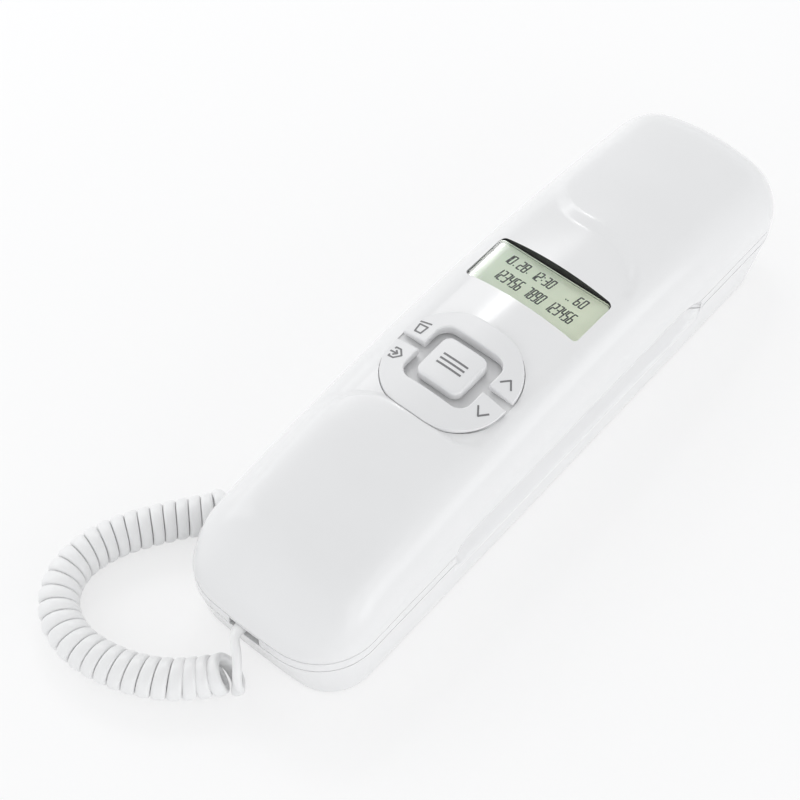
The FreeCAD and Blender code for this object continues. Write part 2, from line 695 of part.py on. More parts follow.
inside = [
    slab(0, lens_y, *collar_size, lens_round + collar, lens_z - ledge_thick, FAR),
    slab(ring_x, ring_y, ring_wide + 2 * deck_rim, ring_deep + 2 * deck_rim, ring_round, deck_top - deck_thick, FAR),
    grip_block(1, shell_line, grip_top + grip_wall),
    grip_block(-1, shell_line, grip_top + grip_wall),
]
inside += [rod(x, y, board_top, 20, post) for x, y in post_spots]
inside += [rod(x, y, boss_foot, 24, boss) for x, y in boss_spots]
openings = [
    slab(0, lens_y, *lens_hole, lens_round + fit, lens_z, FAR),
    slab(0, lens_y, *view, lens_round, lens_z - 10, FAR),
    slab(ring_x, ring_y, ring_wide + 2 * gap, ring_deep + 2 * gap, ring_round + gap, deck_top, FAR),
    rod(ring_x, split_y, deck_top - 10, 20, menu_stem + gap),
    groove(1, shell_line - 1, grip_top + 20),
    groove(-1, shell_line - 1, grip_top + 20),
]
openings += [rod(x, y, deck_top - 10, 20, peg + 0.4) for x, y in peg_spots]
openings += [rod(x, y, board_top - 1, 3.2, small_shank + thread_gap) for x, y in post_spots]
openings += [rod(x, y, boss_foot - 1, 9, shank + thread_gap) for x, y in boss_spots]
hollow = cut(outer_form, cavity_form)
node("handset_outer_shell", cut(fuse(hollow, common(fuse(*inside), outer_form)), *openings))

node("display_lens", slab(0, lens_y, lens_wide, lens_deep, lens_round, lens_z, lens_z + lens_thick))

# Display module: glass in a frame, with a raised view area under the lens.
lcd_z = board_top + 0.05
lcd_wide = view[0] + 2 * lcd_frame
lcd_deep = view[1] + 2 * lcd_frame
lcd_body = slab(0, lens_y, lcd_wide, lcd_deep, 0.8, lcd_z, lcd_z + lcd_thick)
lcd_rim = slab(0, lens_y, view[0] - 1, view[1] - 1, 0.5, lcd_z + lcd_thick - 0.3, lcd_z + lcd_thick + 1)
node("lcd_module", cut(lcd_body, lcd_rim))

# Display board, the rubber mat on it and its screws.
corners = [(-board_half, -board_mouth, 2), (board_half, -board_mouth, 2)]
corners += [(board_half, board_ear, 2), (-board_half, board_ear, 2)]
holes = [rod(x, y, board_top - board_thick - 1, 5, small_shank + thread_gap) for x, y in post_spots]
node("display_board", cut(prism(corners, board_top - board_thick, board_top), *holes))
mat = [slab(ring_x, ring_y, ring_wide - 1, ring_deep - 1, ring_round - 1, board_top, mat_top)]
mat += [rod(x, y, mat_top - 0.1, 0.35, peg * 1.5) for x, y in peg_spots + [(ring_x, split_y)]]
node("front_key_mat", fuse(*mat))
screws(
    "display_board_screws",
    post_spots,
    small_shank,
    small_shank * 2,
    1.2,
    board_top - board_thick,
    board_top + 2.0,
    True,
)

# Front keys. Their tops follow the crown, a little above the scooped panel.
key_crown = crown_over(crown_z - step_high + key_proud, crown_long, crown_wide)


def key_top(bounds):
    return bounds.ZMin > 43.6 and bounds.ZMax > 44.6 and bounds.DiagonalLength > 0.3


menu_cap = common(slab(ring_x, split_y, menu_wide, menu_deep, menu_round, key_foot, FAR), key_crown)
menu_cap = soften(menu_cap, key_edge, key_top)
clip_top = deck_top - deck_thick - gap
menu_parts = [
    menu_cap,
    rod(ring_x, split_y, mat_top + 1.0, key_foot - mat_top, menu_stem),
    rod(ring_x, split_y, mat_top + 1.0, clip_top - mat_top - 1.0, menu_stem + 1.0),
]
node("menu_key", fuse(*menu_parts))



def rocker_outline(side):
    """A C shape: half of the ring, open towards the other rocker."""
    edge = split_y + side * ring_split / 2
    far = ring_y + side * ring_deep / 2
    near = split_y + side * trench_deep / 2
    outer, inner = side * ring_wide / 2, side * trench_wide / 2
    return [
        (ring_x + outer, edge, tip_round),
        (ring_x + outer, far, ring_round),
        (ring_x - outer, far, ring_round),
        (ring_x - outer, edge, tip_round),
        (ring_x - inner, edge, tip_round),
        (ring_x - inner, near, trench_round),
        (ring_x + inner, near, trench_round),
        (ring_x + inner, edge, tip_round),
    ]


for label, side in (("upper_rocker_key", 1), ("lower_rocker_key", -1)):
    half_ring = common(prism(rocker_outline(side), key_foot, FAR), key_crown)
    half_ring = soften(half_ring, key_edge, key_top)
    near = split_y + side * (trench_deep / 2 + 0.8)
    far = ring_y + side * (ring_deep / 2 - 0.8)
    span = (near, far) if side > 0 else (far, near)
    parts = [half_ring, rod(ring_x, span[0], key_foot, span[1] - span[0], key_foot - pivot_z, "Y")]
    for sx in (-1, 1):
        parts.append(rod(ring_x + sx * peg_x, split_y + side * peg_y, mat_top + 0.9, key_foot - mat_top, peg))
    node(label, fuse(*parts))


def walls_between(inset, low, high):
    """The handset's upright outline as a solid between two heights, drawn in by inset."""
    item = doc.addObject("Part::Extrusion", "Walls")
    item.Base = outline(
        low,
        half_width - inset,
        mouth_reach - inset,
        ear_reach - inset,
        mouth_corner - inset,
        ear_corner - inset,
        end_arc - inset,
    )
    item.DirMode = "Custom"
    item.Dir = V(0, 0, 1)
    item.Solid = True
    bind(item, "LengthFwd", as_size(high) - low)
    return item


# Handset inner shell: the face with the keypad, an ear hump and a mouth hump.

# Dial keys: three columns, with four dial rows and a function row nearer the ear.
keypad_z = seat_z + key_recess
flange_foot = keypad_z + face + 0.1
flange_top = flange_foot + flange_thick
mat_foot = flange_top + 0.3 + dial_travel + 0.1
dial_board_foot = mat_foot + mat_thick
post_rows = (function_row + 7.0, first_row - 3 * row_pitch - 7.0)
dial_posts = [(sx * dial_post_x, y) for sx in (-1, 1) for y in post_rows]
names = [["digit_key_" + str(3 * r + c + 1) for c in range(3)] for r in range(3)]
names.append(["star_key", "digit_key_0", "hash_key"])
dial_keys = []
for r, line in enumerate(names):
    for c, name in enumerate(line):
        dial_keys.append((name, (1 - c) * column, first_row - r * row_pitch))
for c, name in enumerate(("function_key_left", "function_key_middle", "function_key_right")):
    dial_keys.append((name, (1 - c) * column, function_row))

floor = seat_z + face
keypad_x = column + dial_wide / 2 + recess_rim
keypad_y0 = first_row - 3 * row_pitch - dial_deep / 2 - recess_rim
keypad_y1 = function_row + dial_deep / 2 + recess_rim


def keypad_area(spread, low, high):
    """The keypad's recess, spread out, between two heights."""
    wide, deep = 2 * keypad_x + 2 * spread, keypad_y1 - keypad_y0 + 2 * spread
    return slab(0, (keypad_y0 + keypad_y1) / 2, wide, deep, 2.5, low, high)


solids = [
    cut(walls_between(0, seat_z, shell_line), walls_between(wall, floor, shell_line + 1)),
    slab(0, ear_y, ear_hump_wide, ear_hump_deep, ear_hump_round, hump_z, floor),
    slab(0, -mouth_y, mouth_hump_wide, mouth_hump_deep, mouth_hump_round, hump_z, floor),
    grip_block(1, seat_z, shell_line),
    grip_block(-1, seat_z, shell_line),
    keypad_area(0.8, seat_z, keypad_z + face),
]
solids += [rod(x, y, seat_z, boss_foot - 0.1 - seat_z, inner_boss) for x, y in boss_spots]
solids += [rod(x, y, seat_z, dial_board_foot - seat_z, dial_post) for x, y in dial_posts]
mic_well = slab(
    0,
    -mouth_y,
    mouth_hump_wide - 2 * face,
    mouth_hump_deep - 2 * face,
    mouth_hump_round - face,
    hump_z + face,
    floor + 1,
)
mic_ring = cut(
    rod(0, -mouth_y, hump_z + face - 0.5, 3.5, mic + fit + 1.0),
    rod(0, -mouth_y, hump_z + face, 9, mic + fit),
)
voids = [
    keypad_area(0, seat_z - 1, keypad_z),
    rod(0, ear_y, hump_z + face, 9, speaker + fit),
    rod(0, ear_y, hump_z - 1, 1.7, dish),
    mic_well,
    box(-jack_half - 0.2, jack_half + 0.2, -jack_mouth - 0.2, jack_long - jack_mouth + 0.2, seat_z - 1, floor + 1),
    box(-slot_half, slot_half, -FAR, 0.6 - jack_mouth, seat_z - 1, slot_top),
    groove(1, seat_z - 1, shell_line + 1),
    groove(-1, seat_z - 1, shell_line + 1),
]
for ring_radius, count in ((0.0, 1), (4.5, 6), (8.5, 12)):
    for k in range(count):
        turn = 2 * math.pi * k / count
        x, y = ring_radius * math.cos(turn), ear_y + ring_radius * math.sin(turn)
        voids.append(rod(x, y, hump_z - 1, 5, ear_hole))
for k in (-1, 0, 1):
    voids.append(rod(3.0 * k, -mouth_y, hump_z - 1, 5, ear_hole))
for x, y in boss_spots:
    voids.append(rod(x, y, seat_z - 1, head_seat - seat_z + 1, head + 0.3))
    voids.append(rod(x, y, seat_z - 1, 9, shank + thread_gap))
for x, y in dial_posts:
    voids.append(rod(x, y, dial_board_foot - 3, 4, small_shank + thread_gap))
for name, x, y in dial_keys:
    voids.append(
        slab(x, y, dial_wide + 2 * dial_gap, dial_deep + 2 * dial_gap, dial_round + dial_gap, seat_z - 1, keypad_z + face + 1)
    )
node("handset_inner_shell", fuse(cut(fuse(*solids), *voids), mic_ring))
screws("handset_screws", boss_spots, shank, head, head_high, head_seat, boss_foot + 7.8, True)


def origin_plane(body, role):
    return [item for item in body.Origin.OriginFeatures if item.Role == role][0]


def pad(body, corners, low, high):
    """A pad of an outline in a body, between two heights."""
    low = as_size(low)
    sketch = body.newObject("Sketcher::SketchObject", "Profile")
    sketch.AttachmentSupport = (origin_plane(body, "XY_Plane"), "")
    sketch.MapMode = "FlatFace"
    sketch.AttachmentOffset = Placement(V(0, 0, low.value), Rotation())
    bind(sketch, "AttachmentOffset.Base.z", low)
    draw(sketch, corners)
    item = body.newObject("PartDesign::Pad", "Pad")
    item.Profile = sketch
    bind(item, "Length", as_size(high) - low)
    return item


# Each dial key is a padded cap with a rim behind the face, drawn about its own middle.
for name, x, y in dial_keys:
    body = doc.addObject("PartDesign::Body", "Key")
    rim_wide, rim_deep = dial_wide + 2 * dial_flange, dial_deep + 2 * dial_flange
    zero = as_size(0)
    pad(body, rounded(zero, zero, rim_wide, rim_deep, dial_round + dial_flange), flange_foot, flange_top)
    cap = pad(body, rounded(zero, zero, dial_wide, dial_deep, dial_round), keypad_z - dial_tip, flange_foot)
    doc.recompute()
    tip = (keypad_z - dial_tip).value
    picked = []
    for number, edge in enumerate(cap.Shape.Edges, 1):
        if edge.BoundBox.ZMax < tip + 0.01:
            picked.append("Edge" + str(number))
    edge = body.newObject("PartDesign::Chamfer", "Edge")
    edge.Base = (cap, picked)
    bind(edge, "Size", dial_edge)
    put(body, x, y, 0)
    node(name, body)

mat_y0 = first_row - 3 * row_pitch - dial_deep / 2 - 1.0
mat_y1 = function_row + dial_deep / 2 + 1.0
mat_half = column + dial_wide / 2 + 0.6
dial_mat = [(-mat_half, mat_y0, 1.5), (mat_half, mat_y0, 1.5), (mat_half, mat_y1, 1.5), (-mat_half, mat_y1, 1.5)]
node("dial_key_mat", prism(dial_mat, mat_foot, dial_board_foot))
board_y0 = post_rows[1] - 3.0
board_y1 = post_rows[0] + 3.0
dial_board = [(-dial_board_half, board_y0, 2), (dial_board_half, board_y0, 2)]
dial_board += [(dial_board_half, board_y1, 2), (-dial_board_half, board_y1, 2)]
holes = [rod(x, y, dial_board_foot - 1, 5, small_shank + thread_gap) for x, y in dial_posts]
dial_board_top = dial_board_foot + board_thick
node("dial_board", cut(prism(dial_board, dial_board_foot, dial_board_top), *holes))
screws("dial_board_screws", dial_posts, small_shank, small_shank * 2, 1.2, dial_board_top, dial_board_foot - 2.8)

speaker_z = hump_z + face + 0.05
cone = rod(0, ear_y, speaker_z, 1.2, speaker - 3.0)
magnet = rod(0, ear_y, speaker_z + 3.0, speaker_thick - 3.0, speaker * 0.6)
rim = cut(rod(0, ear_y, speaker_z, 3.2, speaker), cone)
node("earpiece_speaker", fuse(rim, magnet))
node("microphone", rod(0, -mouth_y, hump_z + face + 0.05, mic_thick, mic))

weight = slab(0, -weight_y, weight_wide, weight_deep, 2.0, floor + 0.05, floor + 0.05 + weight_thick)
node("handset_weight", weight)

# Handset jack and the cord's plug in it; the cord leaves through the slot in the mouth end.
plug_half = plug_wide / 2
plug_foot = jack_foot + 0.1
plug_rear = -1 * jack_mouth - 0.2
jack_body = box(-jack_half, jack_half, -jack_mouth, jack_long - jack_mouth, jack_foot, jack_foot + jack_high)
jack_hole = box(
    -plug_half - plug_gap,
    plug_half + plug_gap,
    -jack_mouth - 1,
    plug_rear + plug_long + 0.3,
    jack_foot - 1,
    plug_foot + plug_high + plug_gap,
)
node("handset_jack", cut(jack_body, jack_hole))
plug_body = box(-plug_half, plug_half, plug_rear, plug_rear + plug_long, plug_foot, plug_foot + plug_high)
plug_nose = box(-plug_half + 0.6, plug_half - 0.6, plug_rear + 7, plug_rear + 12, plug_foot - 1, plug_foot + 0.8)
node("handset_cord_plug", cut(plug_body, plug_nose))

# Base: a low tray with sloping walls, open below and closed by a plate.
floor_under = tray_floor - face


def base_outline(z, inset):
    """The base's outline at a height, drawn in by inset."""
    share = (as_size(z) - base_z) / (base_high - base_z)
    return outline(
        z,
        base_half + (half_width - base_half) * share - inset,
        base_mouth + (mouth_reach - base_mouth) * share - inset,
        base_ear + (ear_reach - base_ear) * share - inset,
        base_corner + (mouth_corner - base_corner) * share - inset,
        base_corner + (ear_corner - base_corner) * share - inset,
        end_arc - inset,
    )


def base_groove(side):
    """The base's half of the grip groove."""
    drop = (seat_z - grip_foot) / (grip_foot_x - grip_x)
    right = [(grip_x, seat_z), (60, seat_z - (60 - grip_x) * drop), (60, seat_z + 1)]
    left = [(-1 * x, z) for x, z in reversed(right)]
    return prism(right if side > 0 else left, -grip_mouth, grip_ear, "XZ")


def pit(y, width, depth, r, spread, low, high):
    """Room for a hump: the hump's outline, spread out."""
    return slab(0, y, width + 2 * spread, depth + 2 * spread, r + spread, low, high)


ear_hump = (ear_y, ear_hump_wide, ear_hump_deep, ear_hump_round)
mouth_hump = (-mouth_y, mouth_hump_wide, mouth_hump_deep, mouth_hump_round)
pit_floor = hump_z - pit_deep
plate_top = base_z + plate_thick
base_screws = [(-base_screw_x, -base_screw_mouth), (base_screw_x, -base_screw_mouth)]
base_screws += [(-base_screw_x, base_screw_ear), (base_screw_x, base_screw_ear)]
board_posts = [(-16.0, -57.0), (16.0, -57.0), (-16.0, 27.0), (16.0, 27.0)]
base_board_top = base_board_foot + board_thick
tray = [(-tray_half, -tray_mouth, tray_round), (tray_half, -tray_mouth, tray_round)]
tray += [(tray_half, tray_ear, tray_round), (-tray_half, tray_ear, tray_round)]
shell = cut(
    loft(base_outline(base_z, 0), base_outline(base_high, 0)),
    loft(base_outline(base_z - 1, wall), base_outline(floor_under, wall)),
)
added = [
    pit(*ear_hump, pit_gap + face, pit_floor - face, tray_floor - 0.5),
    pit(*mouth_hump, pit_gap + face, pit_floor - face, tray_floor - 0.5),
    box(grip_x + 1.9, half_width - wall, -grip_mouth - grip_wall, grip_ear + grip_wall, 7.4, floor_under + 0.5),
    box(wall - half_width, -1 * grip_x - 1.9, -grip_mouth - grip_wall, grip_ear + grip_wall, 7.4, floor_under + 0.5),
]
added += [rod(x, y, plate_top + 0.1, floor_under - plate_top, boss) for x, y in base_screws]
added += [rod(x, y, base_board_top, floor_under - base_board_top + 0.5, dial_post) for x, y in board_posts]
removed = [
    prism(tray, tray_floor, FAR),
    pit(*ear_hump, pit_gap, pit_floor, FAR),
    pit(*mouth_hump, pit_gap, pit_floor, FAR),
    base_groove(1),
    base_groove(-1),
    slab(0, plunger_y, plunger_wide + 2 * gap, plunger_deep + 2 * gap, 1.2 + gap, floor_under - 1, tray_floor + 1),
    box(
        -40,
        -20,
        -cord_jack_y - plug_half - jack_gap,
        plug_half + jack_gap - cord_jack_y,
        cord_z - plug_high / 2 - jack_gap,
        cord_z + plug_high / 2 + jack_gap,
    ),
    box(
        -40,
        -20,
        ringer_switch_y - slide_half,
        ringer_switch_y + slide_half,
        slide_z - slide_high / 2,
        slide_z + slide_high / 2,
    ),
    box(line_x - line_wide / 2, line_x + line_wide / 2, line_end - 2.0, line_end + 18, line_foot, line_foot + line_high),
    box(-tab_wide / 2 - 0.2, tab_wide / 2 + 0.2, tab_y - tab_deep / 2, tab_y + tab_deep / 2, tray_floor - 0.1, FAR),
]
removed += [rod(x, y, 0, 9.6, shank + thread_gap) for x, y in base_screws]
removed += [rod(x, y, base_board_top - 1, 2.8, small_shank + thread_gap) for x, y in board_posts]
node("base_cover", cut(fuse(shell, *added), *removed))

# Base plate: keyholes for two wall screws, a grille under the ringer, foot recesses.
foot_spots = [(sx * foot_x, y) for sx in (-1, 1) for y in (-foot_mouth, foot_ear)]
plate = doc.addObject("Part::Extrusion", "Plate")
plate.Base = base_outline(base_z, wall + plate_gap)
plate.DirMode = "Custom"
plate.Dir = V(0, 0, 1)
plate.Solid = True
bind(plate, "LengthFwd", plate_thick)
cuts = []
for y in (-hang_low, hang_high):
    cuts.append(rod(0, y, -1, 5, hang_entry))
    cuts.append(box(-hang_slot, hang_slot, y, y + hang_run, -1, 4))
    cuts.append(rod(0, y + hang_run, -1, 5, hang_slot))
for x, y in foot_spots:
    cuts.append(rod(x, y, -1, foot_in + base_z + 1, foot + 0.05))
for x, y in base_screws:
    cuts.append(rod(x, y, -1, 5, shank + thread_gap))
    cuts.append(rod(x, y, -1, base_z + 2.3, head + 0.3))
for ring_radius, count in ((0.0, 1), (3.6, 6), (7.2, 12)):
    for k in range(count):
        turn = 2 * math.pi * k / count
        x, y = ring_radius * math.cos(turn), ringer_y + ring_radius * math.sin(turn)
        cuts.append(rod(x, y, -1, 5, ear_hole))
node("base_plate", cut(plate, *cuts))
node("rubber_feet", fuse(*[rod(x, y, 0, foot_out + foot_in, foot) for x, y in foot_spots]))
screws("base_screws", base_screws, shank, head, 1.0, base_z + 1.3, 9.4, True)

cup = cut(rod(0, ringer_y, plate_top + 0.2, ringer_thick, ringer), rod(0, ringer_y, plate_top, 1.4, ringer - 1.2))
node("ringer", fuse(cup, rod(0, ringer_y, plate_top + 0.2 + ringer_thick, 0.9, ringer * 0.35)))
main_board = [(-20, -62, 2), (20, -62, 2), (20, 31, 2), (-20, 31, 2)]
holes = [rod(x, y, base_board_foot - 1, 5, small_shank + thread_gap) for x, y in board_posts]
node("base_board", cut(prism(main_board, base_board_foot, base_board_top), *holes))
screws("base_board_screws", board_posts, small_shank, small_shank * 2, 1.2, base_board_foot, base_board_top + 1.7, True)

# Hook switch: the plunger stands on a spring and works the switch beside it.
plunger = doc.addObject("PartDesign::Body", "Plunger")
zero = as_size(0)
pad(plunger, rounded(zero, zero, plunger_wide + 4, plunger_deep + 3, 1.5), plunger_rim, plunger_rim + 1.0)
stem = pad(plunger, rounded(zero, zero, plunger_wide, plunger_deep, 1.2), plunger_rim + 1.0, plunger_top)
doc.recompute()
tip = plunger_top.value
picked = ["Edge" + str(n) for n, edge in enumerate(stem.Shape.Edges, 1) if edge.BoundBox.ZMin > tip - 0.01]
edge = plunger.newObject("PartDesign::Chamfer", "Edge")
edge.Base = (stem, picked)
bind(edge, "Size", 0.8)
put(plunger, 0, plunger_y, 0)
node("hook_plunger", plunger)
switch_body = box(-5, 5, plunger_y - 12.3, plunger_y - 6.3, 3.4, base_board_foot - 0.05)
switch_arm = box(-1.5, 1.5, plunger_y - 6.4, plunger_y - 4.8, 4.4, 5.0)
node("hook_switch", fuse(switch_body, switch_arm))

# Ringer switch: a slider in a slot of the base's left wall.
low, high = ringer_switch_y - slide_half - 1.5, ringer_switch_y + slide_half + 1.5
case = box(-switch_in, 6 - switch_in, low, high, plate_top + 0.2, 9.2)
track = box(
    -switch_in - 1, 1.5 - switch_in, ringer_switch_y - slide_half, ringer_switch_y + slide_half, slide_z - 1.0, slide_z + 1.0
)
node("ringer_switch_body", cut(case, track))
stalk = box(
    -switch_in - 3.6,
    1.3 - switch_in,
    ringer_switch_y - knob_half,
    ringer_switch_y + knob_half,
    slide_z - 0.8,
    slide_z + 0.8,
)
node("ringer_switch_knob", stalk)

# Base cord jack behind the hole in the left wall, and the plug in it.
base_jack = box(
    -jack_out, jack_deep - jack_out, -cord_jack_y - jack_wide / 2, jack_wide / 2 - cord_jack_y, plate_top + 0.1, 9.1
)
base_jack_hole = box(
    -jack_out - 1,
    plug_long - plug_out + 0.4,
    -cord_jack_y - plug_half - plug_gap,
    plug_half + plug_gap - cord_jack_y,
    cord_z - plug_high / 2 - plug_gap,
    cord_z + plug_high / 2 + plug_gap,
)
node("base_cord_jack", cut(base_jack, base_jack_hole))
rear_plug = box(
    -plug_out,
    plug_long - plug_out,
    -cord_jack_y - plug_half,
    plug_half - cord_jack_y,
    cord_z - plug_high / 2,
    cord_z + plug_high / 2,
)
rear_nose = box(
    plug_long - plug_out - 4,
    plug_long - plug_out + 1,
    0.6 - cord_jack_y - plug_half,
    plug_half - 0.6 - cord_jack_y,
    cord_z + plug_high / 2 - 0.8,
    cord_z + plug_high,
)
node("base_cord_plug", cut(rear_plug, rear_nose))

# Line jack in the ear end wall, and the catch that holds the handset on a wall.
line_case = box(line_x - 7, line_x + 7, line_end - 11.3, line_end, plate_top + 0.1, pit_floor - face - 0.1)
line_socket = box(line_x - line_wide / 2, line_x + line_wide / 2, line_end - 8.8, line_end + 1, line_foot, line_foot + line_high)
node("line_jack", cut(line_case, line_socket))
tab_foot = box(-tab_wide / 2, tab_wide / 2, tab_y - tab_deep / 2 + 0.2, tab_y + tab_deep / 2 - 0.2, tray_floor, tab_top)
tab_side = box(tab_wide / 2 - 2.4, tab_wide, tab_y - 4, tab_y + 0.4, tray_floor + 1, tab_top + 1)
tab_side2 = box(-tab_wide, 2.4 - tab_wide / 2, tab_y - 4, tab_y + 0.4, tray_floor + 1, tab_top + 1)
node("wall_hook_tab", cut(tab_foot, tab_side, tab_side2))


# Curly cord. Its coil lies on the table round the mouth end's left side; the route is a
# quadratic spline through the points below, and the wire winds about it.
ROUTE = [
    (0.8, -113.4, 0.0),
    (-5.0, -121.5, 0.0),
    (-17.0, -128.2, 0.0),
    (-33.0, -129.5, 0.0),
    (-47.5, -128.2, 0.0),
    (-57.0, -121.5, 0.0),
    (-59.5, -110.0, 0.0),
    (-54.5, -98.5, 0.0),
    (-46.0, -90.0, 0.0),
    (-38.5, -83.2, 0.0),
]
DRAWN_HALF = 28.8
DRAWN_REACH = 107.2
STEPS = 60
PHASE = math.pi
HAND = 1
SIDES = 6
PER_TURN = 2


def route_points(points, steps):
    """Points of a clamped quadratic spline through its control points."""
    result = [V(*points[0])]
    last = len(points) - 2
    for k in range(1, last + 1):
        a = V(*points[0]) if k == 1 else (V(*points[k - 1]) + V(*points[k])) / 2
        b = V(*points[k])
        c = V(*points[-1]) if k == last else (V(*points[k]) + V(*points[k + 1])) / 2
        for i in range(1, steps + 1):
            t = i / steps
            result.append(a * ((1 - t) ** 2) + b * (2 * t * (1 - t)) + c * (t**2))
    return result


def wind(route, radius, advance, thick, room, phase):
    """Quarter turn points of the winding, with its directions there."""
    angle = phase
    angles = [angle]
    for i in range(1, len(route)):
        step = (route[i] - route[i - 1]).Length
        near = route[max(i - 2, 0)]
        far = route[min(i + 1, len(route) - 1)]
        here = route[i - 1]
        ahead, behind = far - here, here - near
        bend = ahead.getAngle(behind) * 2 / (ahead.Length + behind.Length) if behind.Length > 0 else 0
        inner = 1 - radius * min(bend, 0.8 / radius)
        angle += HAND * 2 * math.pi * step / max(advance, (thick + room) / inner)
        angles.append(angle)
    turns = round((angles[-1] - phase) / (2 * math.pi) - 0.75) + 0.75
    scale = turns * 2 * math.pi / (angles[-1] - phase)
    angles = [phase + (a - phase) * scale for a in angles]

    def at(target):
        lo, hi = 0, len(angles) - 1
        while hi - lo > 1:
            mid = (lo + hi) // 2
            if angles[mid] <= target:
                lo = mid
            else:
                hi = mid
        t = (target - angles[lo]) / (angles[hi] - angles[lo])
        middle = route[lo] * (1 - t) + route[hi] * t
        before = route[max(lo - 1, 0)]
        after = route[min(hi + 1, len(route) - 1)]
        along = (after - before).normalize()
        side = along.cross(V(0, 0, 1)).normalize()
        up = side.cross(along)
        return middle + side * (radius * math.cos(target)) + up * (radius * math.sin(target))

    stops = [phase + k * 2 * math.pi / PER_TURN for k in range(int(turns * PER_TURN) + 1)]
    if angles[-1] - stops[-1] > 0.01:
        stops.append(angles[-1])
    spots = []
    for target in stops:
        small = 0.01
        before, after = at(max(target - small, phase)), at(min(target + small, angles[-1]))
        spots.append((at(target), (after - before).normalize()))
    return spots, turns


def arc_from(start, direction, stop):
    """The arc that leaves start in a direction and ends at stop, with its radius."""
    chord = stop - start
    unit = V(chord).normalize()
    half = direction.getAngle(chord)
    away = (direction - unit * direction.dot(unit)).normalize()
    middle = (start + stop) / 2 + away * (chord.Length / 2 * math.tan(half / 2))
    return Part.Arc(start, middle, stop).toShape(), chord.Length / 2 / math.sin(half)


def biarcs(spots):
    """Two tangent arcs between each pair of neighbouring points."""
    edges = []
    radii = []
    for (p0, t0), (p1, t1) in zip(spots, spots[1:]):
        v = p1 - p0
        t = t0 + t1
        k = 2 * (1 - t0.dot(t1))
        d = (-v.dot(t) + math.sqrt(v.dot(t) ** 2 + k * v.dot(v))) / k
        join_at = (p0 + p1 + (t0 - t1) * d) / 2
        first, r1 = arc_from(p0, t0, join_at)
        second, r2 = arc_from(p1, t1 * -1, join_at)
        middle = second.valueAt((second.FirstParameter + second.LastParameter) / 2)
        edges.append(first)
        edges.append(Part.Arc(join_at, middle, p1).toShape())
        radii += [r1, r2]
    return edges, radii


def tube(edges, thick, sides):
    """A tube of an even number of flat sides along joined edges."""
    path = Part.Wire(edges)
    start = edges[0].valueAt(edges[0].FirstParameter)
    direction = edges[0].tangentAt(edges[0].FirstParameter)
    across = direction.cross(V(0, 0, 1) if abs(direction.z) < 0.9 else V(1, 0, 0)).normalize()
    other = direction.cross(across)
    rim = []
    for k in range(sides + 1):
        turn = 2 * math.pi * (k % sides + 0.5) / sides
        rim.append(start + across * (thick / 2 * math.cos(turn)) + other * (thick / 2 * math.sin(turn)))
    pipe = Part.BRepOffsetAPI.MakePipeShell(path)
    pipe.add(Part.makePolygon(rim))
    pipe.build()
    pipe.makeSolid()
    return pipe.shape(), path.Length


def smooth_path(points):
    """Straight runs joined by tangent arcs as large as the runs allow, and the arcs' radii."""
    runs = [(b - a).Length for a, b in zip(points, points[1:])]
    edges = []
    radii = []
    start = points[0]
    for i in range(1, len(points) - 1):
        before = (points[i] - points[i - 1]).normalize()
        after = (points[i + 1] - points[i]).normalize()
        reach = 0.45 * min(runs[i - 1], runs[i])
        half = before.getAngle(after) / 2
        into, out_of = points[i] - before * reach, points[i] + after * reach
        edges.append(Part.LineSegment(start, into).toShape())
        edges.append(arc_from(into, before, out_of)[0])
        radii.append(reach / math.tan(half))
        start = out_of
    edges.append(Part.LineSegment(start, points[-1]).toShape())
    return edges, radii


def now(item):
    """A driving dimension as the sheet holds it."""
    return float(sheet.get(item.text[len("Sizes."):]))


def solid_node(label, shape):
    item = doc.addObject("Part::Feature", "Cord")
    item.Shape = shape
    item.Placement = Placement()
    return node(label, item)


def report(label, shape, run, thick, sides, radii):
    share = sides / (2 * math.pi) * math.sin(2 * math.pi / sides)
    expected = run * math.pi * thick**2 / 4 * share
    note = [label, "length", round(run, 1), "volume", round(shape.Volume, 1), "expected", round(expected, 1)]
    print(*note, "radii", [round(r, 1) for r in sorted(radii)[:6]])


def least_gap(edges, thick, near, far):
    """The least room between turns, on points along the winding."""
    points = []
    for edge in edges:
        first, last = edge.ParameterRange
        points += [edge.valueAt(first + (last - first) * i / 8) for i in range(8)]
    run = [0.0]
    for a, b in zip(points, points[1:]):
        run.append(run[-1] + (b - a).Length)
    least = 1e9
    for i, a in enumerate(points):
        for j in range(i + 1, len(points)):
            if run[j] - run[i] > far:
                break
            if run[j] - run[i] > near:
                least = min(least, (a - points[j]).Length)
    return least - thick


doc.recompute()
thick = now(wire)
wider, longer = now(half_width) / DRAWN_HALF, now(mouth_reach) - DRAWN_REACH
route = [V(p.x * wider, p.y - longer, now(coil_z)) for p in route_points(ROUTE, STEPS)]
spots, turns = wind(route, now(coil), now(pitch), thick, now(coil_gap), PHASE)
coil_edges, radii = biarcs(spots)
coil_start, start_way = spots[0]
coil_stop, stop_way = spots[-1]
lead_in = Part.LineSegment(coil_start - start_way * thick, coil_start).toShape()
lead_out = Part.LineSegment(coil_stop, coil_stop + stop_way * thick).toShape()
shape, run = tube([lead_in] + coil_edges + [lead_out], thick, SIDES)
print("curly cord", turns, "turns, least gap between turns", round(least_gap(coil_edges, thick, 9, 70), 2))
report("curly_cord", shape, run, thick, SIDES, radii)
solid_node("curly_cord", shape)
cord_length = run

